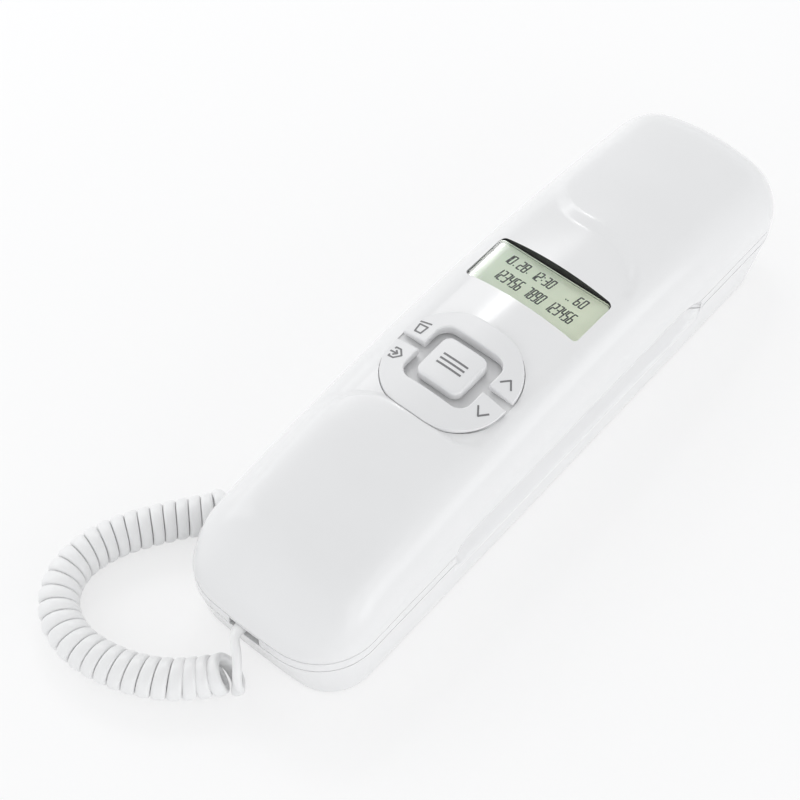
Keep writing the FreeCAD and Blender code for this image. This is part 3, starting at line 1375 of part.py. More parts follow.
# Tails: the plain ends of the cord, from the coil to the plug in the handset and to the plug in the base.
TAIL_SIDES = 10
slot_middle = (seat_z + slot_top) / 2
down = coil_start - start_way * thick
points = [
    V(0, plug_rear.value - 0.15, slot_middle.value),
    V(0.6, plug_rear.value - 7.4, slot_middle.value),
    down - start_way * 5.3,
    down - start_way * now(gap),
]
edges, radii = smooth_path(points)
shape, run = tube(edges, thick, TAIL_SIDES)
report("handset_cord_tail", shape, run, thick, TAIL_SIDES, radii)
solid_node("handset_cord_tail", shape)
cord_length += run

away = coil_stop + stop_way * thick
socket = V(-plug_out.value, -cord_jack_y.value, cord_z.value)
points = [
    away,
    away + stop_way * 4.2,
    socket + V(-11.4, 0.6, 3.2),
    socket + V(-6.4, 0, 0.2),
    socket + V(-0.1, 0, 0),
]
edges, radii = smooth_path(points)
shape, run = tube(edges, thick, TAIL_SIDES)
report("base_cord_tail", shape, run, thick, TAIL_SIDES, radii)
solid_node("base_cord_tail", shape)
cord_length += run
print("cord in all", round(cord_length, 1), "mm")

# Hook spring: stands on the plate and presses the plunger's rim up.
SPRING_HALF_TURNS = 7
thin = now(spring_wire)
reach = now(spring_radius)
low_end = plate_top.value + thin / 2 + 0.02
rise = now(plunger_rim) - thin / 2 - 0.02 - low_end
climb = rise / (SPRING_HALF_TURNS * math.pi)
spots = []
for k in range(SPRING_HALF_TURNS + 1):
    turn = k * math.pi
    spot = V(reach * math.cos(turn), now(plunger_y) + reach * math.sin(turn), low_end + climb * turn)
    way = V(-reach * math.sin(turn), reach * math.cos(turn), climb).normalize()
    spots.append((spot, way))
spring_edges, radii = biarcs(spots)
shape, run = tube(spring_edges, thin, SIDES)
print("hook spring, least gap between turns", round(least_gap(spring_edges, thin, 6, 40), 2))
report("hook_spring", shape, run, thin, SIDES, radii)
solid_node("hook_spring", shape)

# Every object must have recomputed, and every sub-part must be a valid shape, before anything is written.
doc.recompute()
for item in doc.Objects:
    if "Invalid" in item.State or "Error" in item.State:
        raise RuntimeError("failed: " + item.Name + " in " + item.Label)
for label, item in nodes.items():
    if item.Shape.isNull() or not item.Shape.isValid() or not item.Shape.Solids:
        raise RuntimeError("no valid solid: " + label)
os.makedirs("parts", exist_ok=True)
for label, item in nodes.items():
    item.Shape.exportStep("parts/" + label + ".step")
print(len(nodes), "sub-parts")
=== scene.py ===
import json
import math

import bmesh
import bpy
from mathutils import Matrix, Vector

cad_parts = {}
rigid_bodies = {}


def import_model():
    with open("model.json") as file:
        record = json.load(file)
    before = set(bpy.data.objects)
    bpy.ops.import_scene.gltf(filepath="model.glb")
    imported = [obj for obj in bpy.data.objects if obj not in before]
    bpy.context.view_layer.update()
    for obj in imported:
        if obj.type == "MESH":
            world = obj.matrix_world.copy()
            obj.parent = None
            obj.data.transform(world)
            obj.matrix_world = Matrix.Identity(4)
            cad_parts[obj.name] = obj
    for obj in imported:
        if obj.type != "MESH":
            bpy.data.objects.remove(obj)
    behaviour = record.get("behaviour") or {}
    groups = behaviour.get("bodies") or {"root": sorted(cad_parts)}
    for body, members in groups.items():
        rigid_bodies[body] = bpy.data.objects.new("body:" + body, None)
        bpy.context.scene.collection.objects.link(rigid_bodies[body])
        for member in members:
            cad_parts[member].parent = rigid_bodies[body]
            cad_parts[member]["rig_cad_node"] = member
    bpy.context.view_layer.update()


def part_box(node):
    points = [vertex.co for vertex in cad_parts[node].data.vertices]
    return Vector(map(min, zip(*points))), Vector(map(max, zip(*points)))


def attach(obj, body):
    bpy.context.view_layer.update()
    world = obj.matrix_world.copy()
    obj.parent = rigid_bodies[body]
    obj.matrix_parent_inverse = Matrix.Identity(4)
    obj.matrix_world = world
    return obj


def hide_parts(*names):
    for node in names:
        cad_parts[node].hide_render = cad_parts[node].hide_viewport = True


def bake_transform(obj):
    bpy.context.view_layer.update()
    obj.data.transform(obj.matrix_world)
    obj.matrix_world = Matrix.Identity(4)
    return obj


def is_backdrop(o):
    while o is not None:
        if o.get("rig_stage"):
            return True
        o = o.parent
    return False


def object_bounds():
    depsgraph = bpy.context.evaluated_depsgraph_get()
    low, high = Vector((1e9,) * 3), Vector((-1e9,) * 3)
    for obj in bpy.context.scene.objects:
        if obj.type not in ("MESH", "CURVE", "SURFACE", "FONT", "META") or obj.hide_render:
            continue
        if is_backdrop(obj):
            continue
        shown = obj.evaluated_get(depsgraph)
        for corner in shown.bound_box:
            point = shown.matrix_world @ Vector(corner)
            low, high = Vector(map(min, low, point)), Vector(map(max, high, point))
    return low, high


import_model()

# Camera
# The photograph looks down on the telephone from over its mouth end's right corner, through
# a long lens. The image is taken to be 800 pixels square.
scene = bpy.context.scene
scene.view_settings.view_transform = "Standard"
azimuth, elevation, roll = math.radians(40.21), math.radians(54.26), math.radians(-0.15)
aimed_at, distance, focal_pixels = (-0.02484, -0.01438, 0), 0.5707, 1935.5
back = Vector((
    math.sin(azimuth) * math.cos(elevation),
    -math.cos(azimuth) * math.cos(elevation),
    math.sin(elevation),
))
level = back.cross(Vector((0, 0, 1))) * -1
level.normalize()
rise = back.cross(level)
right = level * math.cos(roll) + rise * math.sin(roll)
top = rise * math.cos(roll) - level * math.sin(roll)
bpy.ops.object.camera_add()
camera = bpy.context.object
camera.name = "camera"
camera.data.sensor_width = 36
camera.data.lens = focal_pixels / 800 * 36
camera.data.clip_start = 0.01
turned_to = Matrix((right, top, back)).transposed().to_4x4()
camera.matrix_world = Matrix.Translation(Vector(aimed_at) + back * distance) @ turned_to
scene.camera = camera

# Base cover
# The white tray that the handset rests in, moulded in glossy ABS with a faint mould texture.
# It is screwed to the base plate from below.
class Channel:
    """A shader socket that takes part in sums, so that a mask is written as plain maths."""

    def __init__(self, finish, socket):
        self.finish, self.socket = finish, socket

    def output(self, name):
        return Channel(self.finish, self.socket.node.outputs[name])

    def math(self, operation, *values):
        return self.finish.node("ShaderNodeMath", {"operation": operation}, dict(enumerate(values)))

    def __add__(self, other):
        return self.math("ADD", self, other)

    def __sub__(self, other):
        return self.math("SUBTRACT", self, other)

    def __rsub__(self, other):
        return self.math("SUBTRACT", other, self)

    def __mul__(self, other):
        return self.math("MULTIPLY", self, other)

    def above(self, other):
        return self.math("GREATER_THAN", self, other)

    def maximum(self, other):
        return self.math("MAXIMUM", self, other)

    def minimum(self, other):
        return self.math("MINIMUM", self, other)

    __radd__ = __add__
    __rmul__ = __mul__


class Finish:
    """A material, built node by node through one method."""

    def __init__(self, name):
        self.material = bpy.data.materials.new(name)
        self.material.use_nodes = True
        self.tree = self.material.node_tree
        self.tree.nodes.clear()

    def node(self, kind, settings=None, sockets=None):
        made = self.tree.nodes.new(kind)
        for key, value in (settings or {}).items():
            setattr(made, key, value)
        for key, value in (sockets or {}).items():
            if isinstance(value, Channel):
                self.tree.links.new(value.socket, made.inputs[key])
            else:
                made.inputs[key].default_value = value
        return Channel(self, made.outputs[0])

    def places(self):
        return self.node("ShaderNodeTexCoord").output("Object")

    def noise(self, places, scale, detail=2.0):
        return self.node("ShaderNodeTexNoise", {}, {"Vector": places, "Scale": scale, "Detail": detail})

    def mix(self, share, one, other):
        sockets = {0: share, 6: one, 7: other}
        return self.node("ShaderNodeMix", {"data_type": "RGBA"}, sockets).output("Result")

    def bump(self, height, strength, distance):
        sockets = {"Strength": strength, "Distance": distance, "Height": height}
        return self.node("ShaderNodeBump", {}, sockets)

    def skin(self, colour, roughness, **others):
        """Joins a Principled surface to the output; others name its sockets with _ for a space."""
        sockets = {"Base Color": colour, "Roughness": roughness}
        sockets.update((key.replace("_", " "), value) for key, value in others.items())
        self.surface(self.node("ShaderNodeBsdfPrincipled", {}, sockets))

    def surface(self, shader):
        end = self.tree.nodes.new("ShaderNodeOutputMaterial")
        self.tree.links.new(shader.socket, end.inputs["Surface"])

    def paint(self, *pieces):
        for piece in pieces:
            if not piece.material_slots:
                piece.data.materials.append(self.material)
            for held in piece.material_slots:
                held.material = self.material


def moulded(name, colour, gloss, grain=0.10, mottle=0.02):
    """Moulded material: a faint mottle, soft marks in the gloss and a fine mould grain."""
    made = Finish(name)
    places = made.places()
    cloud = made.noise(places, 45.0, 3.0)
    rub = made.noise(places, 160.0, 4.0)
    fine = made.noise(places, 5200.0, 2.0)
    slow = made.noise(places, 260.0, 1.0)
    dark = tuple(c * (1 - mottle) for c in colour) + (1,)
    light = tuple(min(1, c * (1 + mottle)) for c in colour) + (1,)
    tint = made.mix(cloud, dark, light)
    rough = gloss + (rub - 0.5) * 0.03 + (fine - 0.5) * 0.05
    made.skin(tint, rough, Normal=made.bump(fine * grain + slow * 0.5, 0.12, 0.00005))
    return made


nodes = {o["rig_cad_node"]: o for o in scene.objects if "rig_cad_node" in o}
base_white = moulded("base_white_plastic", (0.80, 0.80, 0.803), 0.24)
base_white.paint(nodes["wall_hook_tab"])

# Base plate
# The flat back that closes the base, with its keyholes for two wall screws, in a slightly
# greyer and duller moulding.
plate_white = moulded("plate_plastic", (0.76, 0.76, 0.765), 0.42, grain=0.3)
plate_white.paint(nodes["base_plate"])

# Feet and key mats
# The feet are four pads of grey rubber, pressed into the plate's cups. The mats are moulded
# of the same rubber and lie between the keys and their boards.
rubber = moulded("foot_rubber", (0.20, 0.20, 0.21), 0.72, grain=0.6, mottle=0.10)
rubber.paint(nodes["rubber_feet"], nodes["front_key_mat"], nodes["dial_key_mat"])

# Screws and spring
# Zinc plated steel, with the plating a little uneven. The screws are cold headed and rolled,
# and the spring under the hook plunger is wound from wire.
steel = Finish("zinc_plated_steel")
places = steel.places()
wear = steel.noise(places, 900.0, 3.0)
fine = steel.noise(places, 6000.0, 2.0)
steel.skin(
    steel.mix(wear, (0.55, 0.55, 0.56, 1), (0.74, 0.74, 0.75, 1)), 0.24 + wear * 0.2, Metallic=1.0,
    Normal=steel.bump(fine, 0.2, 0.00003))
steel.paint(*[nodes[n] for n in (
    "display_board_screws", "dial_board_screws", "handset_screws", "base_screws", "base_board_screws",
    "hook_spring")])

# Boards
# Glass fibre boards under green solder lacquer, screwed to the posts of their case half. The
# copper runs show through the lacquer as paler lines.
board = Finish("board_lacquer")
places = board.places()
split = board.node("ShaderNodeSeparateXYZ", {}, {0: places})
wander = board.noise(places, 140.0, 0.0)
runs = board.node("ShaderNodeMath", {"operation": "SINE"}, {0: (split + wander * 0.012) * 2600.0})
copper = ((runs - 0.55) * 4.0).minimum(1.0).maximum(0.0) * board.noise(places, 90.0, 0.0).above(0.5)
speckle = board.noise(places, 2500.0, 2.0)
board.skin(
    board.mix(copper, (0.012, 0.075, 0.030, 1), (0.05, 0.19, 0.075, 1)), 0.30 + speckle * 0.15,
    Normal=board.bump(copper, 0.5, 0.00003))
board.paint(nodes["display_board"], nodes["dial_board"], nodes["base_board"])

# Speaker, microphone, ringer, switches and jacks
# Small bought-in parts in black glass-filled nylon, pressed into ribs and pockets of the
# case or soldered to a board.
black_nylon = moulded("black_nylon", (0.030, 0.030, 0.032), 0.48, grain=0.7, mottle=0.15)
black_nylon.paint(*[nodes[n] for n in (
    "earpiece_speaker", "microphone", "ringer", "hook_switch", "ringer_switch_body", "handset_jack",
    "base_cord_jack", "line_jack")])

# Cord plugs
# Clear polycarbonate plugs, moulded, crimped on both ends of the cord and snapped into the
# jacks by their latches.
clear = Finish("clear_polycarbonate")
haze = clear.noise(clear.places(), 700.0, 3.0)
clear.skin(
    clear.mix(haze, (0.86, 0.90, 0.92, 1), (0.95, 0.97, 0.98, 1)), 0.10 + haze * 0.12,
    Transmission_Weight=0.85, IOR=1.58)
clear.paint(nodes["handset_cord_plug"], nodes["base_cord_plug"])

# Handset weight
# A cast zinc slug that gives the handset its heft, grey and a little rough from the mould.
# It sits in ribs of the inner shell.
zinc = Finish("cast_zinc")
skin = zinc.noise(zinc.places(), 1400.0, 4.0)
zinc.skin(
    zinc.mix(skin, (0.30, 0.30, 0.31, 1), (0.42, 0.42, 0.43, 1)), 0.48 + skin * 0.15, Metallic=0.9,
    Normal=zinc.bump(skin, 0.4, 0.00008))
zinc.paint(nodes["handset_weight"])

# Handset inner shell
# The lower half of the handset, moulded in the white of the outer shell. Screws join the two,
# and both have a higher gloss than the base.
handset_white = moulded("handset_white_plastic", (0.80, 0.80, 0.803), 0.16)

# Keys
# Moulded in a hair greyer white than the shell, with a slightly matt top. The dial keys and
# function keys stand on the mat in the inner face; the plunger and the switch's knob match.
key_white = moulded("key_plastic", (0.765, 0.765, 0.77), 0.34, grain=0.25)
for name, piece in nodes.items():
    is_key = name.endswith("_key") or "_key_" in name and "mat" not in name
    if is_key or name in ("hook_plunger", "ringer_switch_knob"):
        key_white.paint(piece)

# Handset outer shell
# The crowned upper half of the handset, moulded in glossy white ABS with a 1.8 mm wall. Its
# surround, ear pad and mouth pad stand 1.2 mm over the scooped panel that holds the display
# and the keys. Its form is worked out point by point, because its lines are all curved.
# Lengths in this section are in millimetres.
half, ear_end, mouth_end, end_round = 28.78, 107.5, -107.2, 229.7
seam, seam_line, wall, panel_deep = 19.35, 0.32, 1.8, 1.2
top_y, top_z, bend_along, bend_across = -1.68, 46.9, 1124, 160
window_y, stem_x, stem_y, peg_x, peg_y = 16.15, 0.4, -21.7, (-14.6, 15.4), (-15.9, -27.5)


def turn(ear):
    """Middle and radius of a corner on the right, and the angle where it meets the end arc."""
    r = 15.4 if ear else 18.1
    reach = math.sqrt((end_round - r) ** 2 - (half - r) ** 2)
    y = ear_end - end_round + reach if ear else mouth_end + end_round - reach
    return Vector((half - r, y)), r, math.atan2(reach, half - r)


ear_turn, mouth_turn = turn(True), turn(False)


def inside(x, y):
    """Distance in from the outline, and how far the nearest edge faces along the handset."""
    x = abs(x)
    sign = 1 if y > 0 else -1
    middle, r, angle = ear_turn if y > 0 else mouth_turn
    out = Vector((x - middle.x, (y - middle.y) * sign))
    if out.x > 0 and out.y > 0 and math.atan2(out.y, out.x) < angle:
        return r - out.length, out.y / max(out.length, 1e-6)
    to_side = half - x
    from_end = Vector((x, end_round - (ear_end - y if sign > 0 else y - mouth_end)))
    to_end = end_round - from_end.length
    if to_side < to_end:
        return to_side, 0.0
    return to_end, from_end.y / from_end.length


def soft(v):
    """A smooth step from 0 to 1."""
    v = min(max(v, 0.0), 1.0)
    return v * v * (3 - 2 * v)


def ramp(v):
    """A straight slope from 0 to 1 with tightly rounded ends."""
    v, e = min(max(v, 0.0), 1.0), 0.2
    if v < e:
        return v * v / (2 * e * (1 - e))
    if v > 1 - e:
        return 1 - (1 - v) ** 2 / (2 * e * (1 - e))
    return (v - e / 2) / (1 - e)


def round_corner(x, y, radius, side_width, end_width):
    """Distance past a round corner of a step, from its middle, and half the step's width."""
    out = Vector((x, y))
    share = (out.x / max(out.length, 1e-6)) ** 2
    return out.length - radius, side_width * share + end_width * (1 - share)


def raised(x, y):
    """How far a point is up on the surround and pads, from 0 in the scooped panel to 1."""
    if y > 1.5:
        if x < -5.0 and y < 60.5:
            d, w = round_corner(x + 5.0, y - 60.5, 17.0, 2.85, 2.15)
            d = -d
        elif x < -5.0:
            d, w = x + 22.0, 2.85
        elif x < 3.7:
            d, w = y - 43.5, 2.15
        elif y > 26.5:
            d, w = round_corner(x - 3.7, y - 26.5, 17.0, 0.9, 2.15)
        else:
            d, w = x - 20.7, 0.9
    elif x < -4.5 and y > -57.4:
        d, w = round_corner(x + 4.5, y + 57.4, 17.0, 1.5, 1.1)
        d = -d
    elif x < -4.5:
        d, w = x + 21.5 - 0.0357 * (-57.4 - y), 1.5
    elif x < 12.7:
        d, w = -40.4 - y, 1.1
    elif y < -32.4:
        d, w = round_corner(x - 12.7, y + 32.4, 8.0, 0.9, 1.1)
    else:
        d, w = x - 20.7, 0.9
    return ramp((d + w) / (2 * w))


def crown(x, y):
    """Top of the shell over a point, before its edge is rounded off."""
    high = top_z - (y - top_y) ** 2 / bend_along - x * x / bend_across
    fade = soft((ear_end - 5 - y) / 16) * soft((y - mouth_end - 5) / 16)
    return high - panel_deep * (1 - raised(x, y)) * fade


def rounding(facing):
    """Radius of the upper edge, larger where it faces along the handset."""
    return 12.2 + 2.6 * facing * facing


def lean(y, z):
    """How far the ends lean along the handset at a height over the seam."""
    yf = y + 2.2
    ear = min(max(yf / 109.7, 0.0), 1.05) ** 4
    mouth = min(max(-yf / 105.0, 0.0), 1.05) ** 4
    return (0.130 * ear + 0.627 * mouth) * (z - seam)


def line_through(points, v):
    """Height of a broken line at a place along it."""
    if v <= points[0][0]:
        return points[0][1]
    for (a, one), (b, two) in zip(points, points[1:]):
        if v <= b:
            return one + (two - one) * (v - a) / (b - a)
    return points[-1][1]


# The finger groove's upper and lower edges, as places along the handset and heights.
grip_mouth, grip_ear = -54.9, 59.7
grip_over = [
    (grip_mouth, 16.9), (-54.4, 18.6), (-53.2, 21.2), (-51.1, 22.7), (-49.0, 23.3), (-44.0, 23.5),
    (42.7, 23.5), (47.7, 23.2), (52.4, 22.4), (55.2, 21.4), (57.7, 19.8), (59.3, 18.0), (grip_ear, 16.9)]
grip_under = [
    (grip_mouth, 16.9), (-54.4, 15.6), (-53.6, 13.6), (-51.5, 11.6), (-48.5, 10.8), (-44.0, 10.6),
    (34.8, 10.7), (44.8, 11.1), (49.8, 11.6), (54.4, 12.6), (57.7, 14.4), (59.3, 16.0), (grip_ear, 16.9)]


def grip(y, z, flank=half):
    """Where the flank's surface lies at a place, with the finger groove sunk into it."""
    if not grip_mouth < y < grip_ear:
        return flank
    over, under = line_through(grip_over, y) - z, z - line_through(grip_under, y)
    over = (over + math.sqrt(over * over + 0.10)) / 2
    under = (under + math.sqrt(under * under + 0.10)) / 2
    return min(flank, max(half - over * 0.895, 28.3 - under * 1.19) + 0.02)


def outline_side():
    """Places round the right half, from the ear end's middle to the mouth end's, with normals."""
    points = []
    for ear in (True, False):
        middle, r, angle = ear_turn if ear else mouth_turn
        sign = 1 if ear else -1
        touch = middle + Vector((math.cos(angle), math.sin(angle) * sign)) * r
        part = []
        for n in range(34):
            x = touch.x * n / 34
            rise = end_round - math.sqrt(end_round ** 2 - x * x)
            y = ear_end - rise if ear else mouth_end + rise
            part.append((x, y, x / end_round, sign * math.sqrt(1 - (x / end_round) ** 2)))
        for n in range(27):
            a = angle * (1 - n / 26)
            c, s = math.cos(a), sign * math.sin(a)
            part.append((middle.x + r * c, middle.y + r * s, c, s))
        points.append(part)
    start, stop = points[0][-1][1], points[1][-1][1]
    # The places along the flank stand closer where the pads step up.
    straight, y = [], start
    while y > stop + 1.8:
        y -= 0.5 if 38 < y < 66 or -64 < y < -36 else 1.25
        straight.append((half, y, 1.0, 0.0))
    return points[0] + straight + points[1][::-1]


def spine(y):
    """Where a column ends on the crown's middle line: the ends' columns are drawn together."""
    even = math.copysign(60, y)
    if abs(y) <= 60:
        return y
    reach = (ear_turn if y > 0 else mouth_turn)[0].y - even
    u = min((y - even) / reach, 1)
    return even + reach * (u - u * u / 2)


def column(px, py, nx, ny):
    """Points of the shell's skin from the seam up to the crown's middle line."""
    r = rounding(ny)
    edge = crown(px * 0.999, py) - r
    over = line_through(grip_over, py)
    on_flank, above = abs(nx) > 0.99, seam + 0.3
    if grip_mouth < py < grip_ear and over > seam + 2.2 and on_flank:
        heights = [over + d for d in (-1.2, -0.7, -0.35, 0, 0.35, 0.8, 1.5)]
    else:
        heights = [above + (min(seam + 5.5, edge - 0.3) - above) * n / 7 for n in range(1, 8)]
    heights = sorted(max(z, seam) for z in [seam, above] + heights)
    last = heights[-1]
    heights += [last + (edge - last) * n / 5 for n in range(1, 5)]
    skin = []
    for z in heights:
        at = grip(py, z, abs(px)) if on_flank else abs(px)
        skin.append((math.copysign(at, px), py + lean(py, z), z))
    # The lower rim is drawn in a little, which leaves the fine shadow line of the seam.
    skin[0] = (skin[0][0] - nx * seam_line, skin[0][1] - ny * seam_line, seam)
    goal = Vector((0.0, spine(py)))
    here = Vector((px, py))
    way = (goal - here)
    total = way.length
    way.normalize()
    reach = [r * (1 - math.cos(math.radians(a))) for a in [*range(0, 90, 7), 90]]
    rest = 34
    reach += [reach[-1] + (total - reach[-1]) * n / rest for n in range(1, rest + 1)]
    for d in reach:
        p = here + way * d
        if d > total - 1e-6:
            p = goal
        dist, face = inside(p.x, p.y)
        rr = rounding(face)
        drop = rr - math.sqrt(max(rr * rr - (rr - dist) ** 2, 0)) if dist < rr else 0.0
        z = max(crown(p.x, p.y) - drop, edge)
        skin.append((p.x, p.y + lean(p.y, z), z))
    return skin


def placed(edit, name):
    """An object made of an edited mesh, with its faces turned outwards."""
    bmesh.ops.recalc_face_normals(edit, faces=edit.faces)
    data = bpy.data.meshes.new(name)
    edit.to_mesh(data)
    edit.free()
    made = bpy.data.objects.new(name, data)
    scene.collection.objects.link(made)
    return made


right_side = outline_side()
columns = [column(*p) for p in right_side]
left_side = [(-x, y, -nx, ny) for x, y, nx, ny in right_side[1:-1]]
columns += [column(*p) for p in left_side[::-1]]
bm = bmesh.new()
grid = [[bm.verts.new((x / 1000, y / 1000, z / 1000)) for x, y, z in skin] for skin in columns]
for one, two in zip(grid, grid[1:] + grid[:1]):
    for a, b, c, d in zip(one, one[1:], two[1:], two):
        bm.faces.new((a, d, c, b))
bmesh.ops.remove_doubles(bm, verts=bm.verts, dist=0.00003)
shell = placed(bm, "outer_shell")


def finished(piece, kind, **settings):
    """A modifier with the given settings, applied at once."""
    bpy.context.view_layer.objects.active = piece
    step = piece.modifiers.new("step", kind)
    for key, value in settings.items():
        setattr(step, key, value)
    bpy.ops.object.modifier_apply(modifier="step")


# The wall grows inwards. Round the display and under the keys it is drawn down to flat
# ledges, which carry the window and the deck.
skin_count = len(shell.data.vertices)
finished(shell, "SOLIDIFY", thickness=wall / 1000, offset=-1, use_rim=True)
for v in shell.data.vertices[skin_count:]:
    x, y = v.co.x * 1000, v.co.y * 1000
    if abs(x) < 21.3 and 5.2 < y < 27.0:
        v.co.z = min(v.co.z, 0.03985)
    elif abs(x - stem_x) < 21.0 and -42.6 < y < -2.6:
        v.co.z = min(v.co.z, 0.0410)


def rounded_block(x, y, wide, deep, corner, low, high):
    """A block with rounded upright edges, from low to high."""
    bpy.ops.object.select_all(action="DESELECT")
    bpy.ops.mesh.primitive_cube_add(
        size=1, location=(x / 1000, y / 1000, (low + high) / 2000),
        scale=(wide / 1000, deep / 1000, (high - low) / 1000))
    block = bpy.context.object
    bpy.ops.object.transform_apply(location=True, rotation=True, scale=True)
    bpy.ops.object.mode_set(mode="EDIT")
    bpy.ops.mesh.select_mode(type="EDGE")
    bpy.ops.mesh.select_all(action="DESELECT")
    edit = bmesh.from_edit_mesh(block.data)
    for edge in edit.edges:
        edge.select_set(abs(edge.verts[0].co.z - edge.verts[1].co.z) > (high - low) / 2000)
    bmesh.update_edit_mesh(block.data)
    bpy.ops.mesh.bevel(offset=corner / 1000, offset_type="OFFSET", segments=12, affect="EDGES")
    bpy.ops.object.mode_set(mode="OBJECT")
    return block


def rod(x, y, radius, low, high):
    """An upright round bar."""
    bpy.ops.object.select_all(action="DESELECT")
    bpy.ops.mesh.primitive_cylinder_add(
        vertices=32, radius=radius / 1000, depth=(high - low) / 1000,
        location=(x / 1000, y / 1000, (low + high) / 2000))
    made = bpy.context.object
    bpy.ops.object.transform_apply(location=True, rotation=True, scale=True)
    return made


def cut(piece, tool):
    """Takes a tool's shape out of a piece and removes the tool."""
    finished(piece, "BOOLEAN", operation="DIFFERENCE", solver="EXACT", object=tool)
    bpy.data.objects.remove(tool)


def smoothed(piece, angle):
    """Smooth shading, apart from edges sharper than the angle."""
    bpy.ops.object.select_all(action="DESELECT")
    piece.select_set(True)
    bpy.context.view_layer.objects.active = piece
    bpy.ops.object.shade_smooth_by_angle(angle=math.radians(angle))


# The window's seat and opening, the keys' pocket, and the holes for their stem and pegs.
far_down, far_up = 30, 60
cut(shell, rounded_block(0, window_y, 38.8, 17.7, 1.5, 41.05, far_up))
cut(shell, rounded_block(0, window_y, 38.0, 16.9, 1.0, far_down, far_up))
cut(shell, rounded_block(0.4, -22.6, 38.5, 36.3, 16.0, 42.5, far_up))
cut(shell, rod(stem_x, stem_y, 3.3, far_down, far_up))
for x in peg_x:
    for y in peg_y:
        cut(shell, rod(x, y, 1.6, far_down, far_up))
smoothed(shell, 38)
handset_white.paint(shell)

# The opening's walls are white in the moulding but carry painted shade: the wall towards the ear end
# is painted black and its other walls grey, for the shade that falls in the deep opening. The
# opening's wall towards the ear end is painted black and its other walls grey, so that the bright
# case doesn't show in the glass.
painted_shade_black = moulded("window_edge_painted_shade_black", (0.012, 0.012, 0.013), 0.45, mottle=0.1)
painted_shade_grey = moulded("window_edge_painted_shade_grey", (0.42, 0.42, 0.425), 0.45)
shell.data.materials.append(painted_shade_black.material)
shell.data.materials.append(painted_shade_grey.material)
# Painted shade: the opening's upright faces take the black or the grey material.
for face in shell.data.polygons:
    middle = face.center * 1000
    in_opening = abs(middle.x) < 19.6 and 7.1 < middle.y < 25.2 and middle.z > 39.9
    if in_opening and abs(face.normal.z) < 0.5:
        face.material_index = 1 if face.normal.y < -0.5 else 2
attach(shell, "handset")
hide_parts("handset_outer_shell")

# Grip groove's ramps
# The groove for the finger tips runs on over the inner shell and the base cover. Its ends
# and its lower side are ramped in the mouldings, so a filling of that form is fused to each.
def filled(name, low, high, flank, behind):
    """A copy of a case half whose grip groove is filled up to the ramped surface."""
    made = nodes[name].copy()
    made.data = nodes[name].data.copy()
    made.name = name + "_moulding"
    for key in [k for k in made.keys() if k.startswith("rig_")]:
        del made[key]
    scene.collection.objects.link(made)
    edit = bmesh.new()
    edit.from_mesh(made.data)
    bmesh.ops.remove_doubles(edit, verts=edit.verts, dist=0.000002)
    edit.to_mesh(made.data)
    edit.free()
    # The places along the groove stand closer at its ramped ends.
    along = [-55.3 + 0.55 * n for n in range(17)] + [-46.0 + n * 4.0 for n in range(1, 23)]
    along += [43.0 + 0.62 * n for n in range(28)]
    along = [y for y in along if y < 60.2] + [60.2]
    heights = [low + (high - low) * n / 9 for n in range(10)]
    for side in (1, -1):
        edit = bmesh.new()
        front, rear = (
            [[edit.verts.new((side * x(y, z) / 1000, y / 1000, z / 1000)) for z in heights] for y in along]
            for x in (lambda y, z: grip(y, z, flank(z) - 0.004), lambda y, z: behind(z)))
        for face in (front, rear):
            for one, two in zip(face, face[1:]):
                for a, b, c, d in zip(one, one[1:], two[1:], two):
                    edit.faces.new((a, b, c, d))
        for k in (0, -1):
            for a, b, c, d in zip(front[k], front[k][1:], rear[k][1:], rear[k]):
                edit.faces.new((a, b, c, d))
            for one, two, three, four in zip(front, front[1:], rear[1:], rear):
                edit.faces.new((one[k], two[k], three[k], four[k]))
        filling = placed(edit, "filling")
        finished(made, "BOOLEAN", operation="UNION", solver="EXACT", object=filling)
        bpy.data.objects.remove(filling)
    smoothed(made, 12)
    return made


inner_shell = filled(
    "handset_inner_shell", 15.902, 19.348, lambda z: 28.8, lambda z: 27.6 - (23.5 - z) * 0.895)
handset_white.paint(inner_shell)
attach(inner_shell, "handset")
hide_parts("handset_inner_shell")
base_cover = filled(
    "base_cover", 9.2, 15.598, lambda z: 28.8 - (15.6 - z) * 0.0987,
    lambda z: 20.9 + max(15.9 - z, 0) * 0.984)
base_white.paint(base_cover)
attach(base_cover, "base")
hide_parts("base_cover")

# Display module
# A reflective twisted-nematic glass under a green polariser, held on the display board. Its
# two rows of slanted seven-part figures show plain numbers.
glass_top, figures_low, figures_high, figure_stroke = 41.0, 41.002, 41.03, 0.42
glass_stack = rounded_block(0, window_y, 37.8, 16.7, 0.9, 37.95, glass_top)
glass_stack.name = "display_module"
finished(
    glass_stack, "BEVEL", width=0.0001, segments=2, limit_method="ANGLE", angle_limit=math.radians(60))
lcd = Finish("display_green")
places = lcd.places()
split = lcd.node("ShaderNodeSeparateXYZ", {}, {0: places})
tone = lcd.noise(places, 90.0, 2.0) * 0.5 + (split * 1000.0 + 19.0) * 0.016
grain = lcd.noise(places, 3000.0, 2.0)
share = (tone - 0.1).maximum(0.0).minimum(1.0)
green = lcd.mix(share, (0.80, 0.90, 0.76, 1), (0.87, 0.91, 0.71, 1))
# A little glow makes up for the light that the window keeps from the glass.
lcd.skin(
    green, 0.42 + grain * 0.12, Emission_Color=green, Emission_Strength=0.20,
    Normal=lcd.bump(grain, 0.15, 0.00002))
lcd.paint(glass_stack)
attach(glass_stack, "handset")
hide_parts("lcd_module")

parts_of = {
    "0": "abcdef", "1": "bc", "2": "abged", "3": "abgcd", "4": "fgbc",
    "5": "afgcd", "6": "afgedc", "7": "abc", "8": "abcdefg", "9": "abfgcd",
}


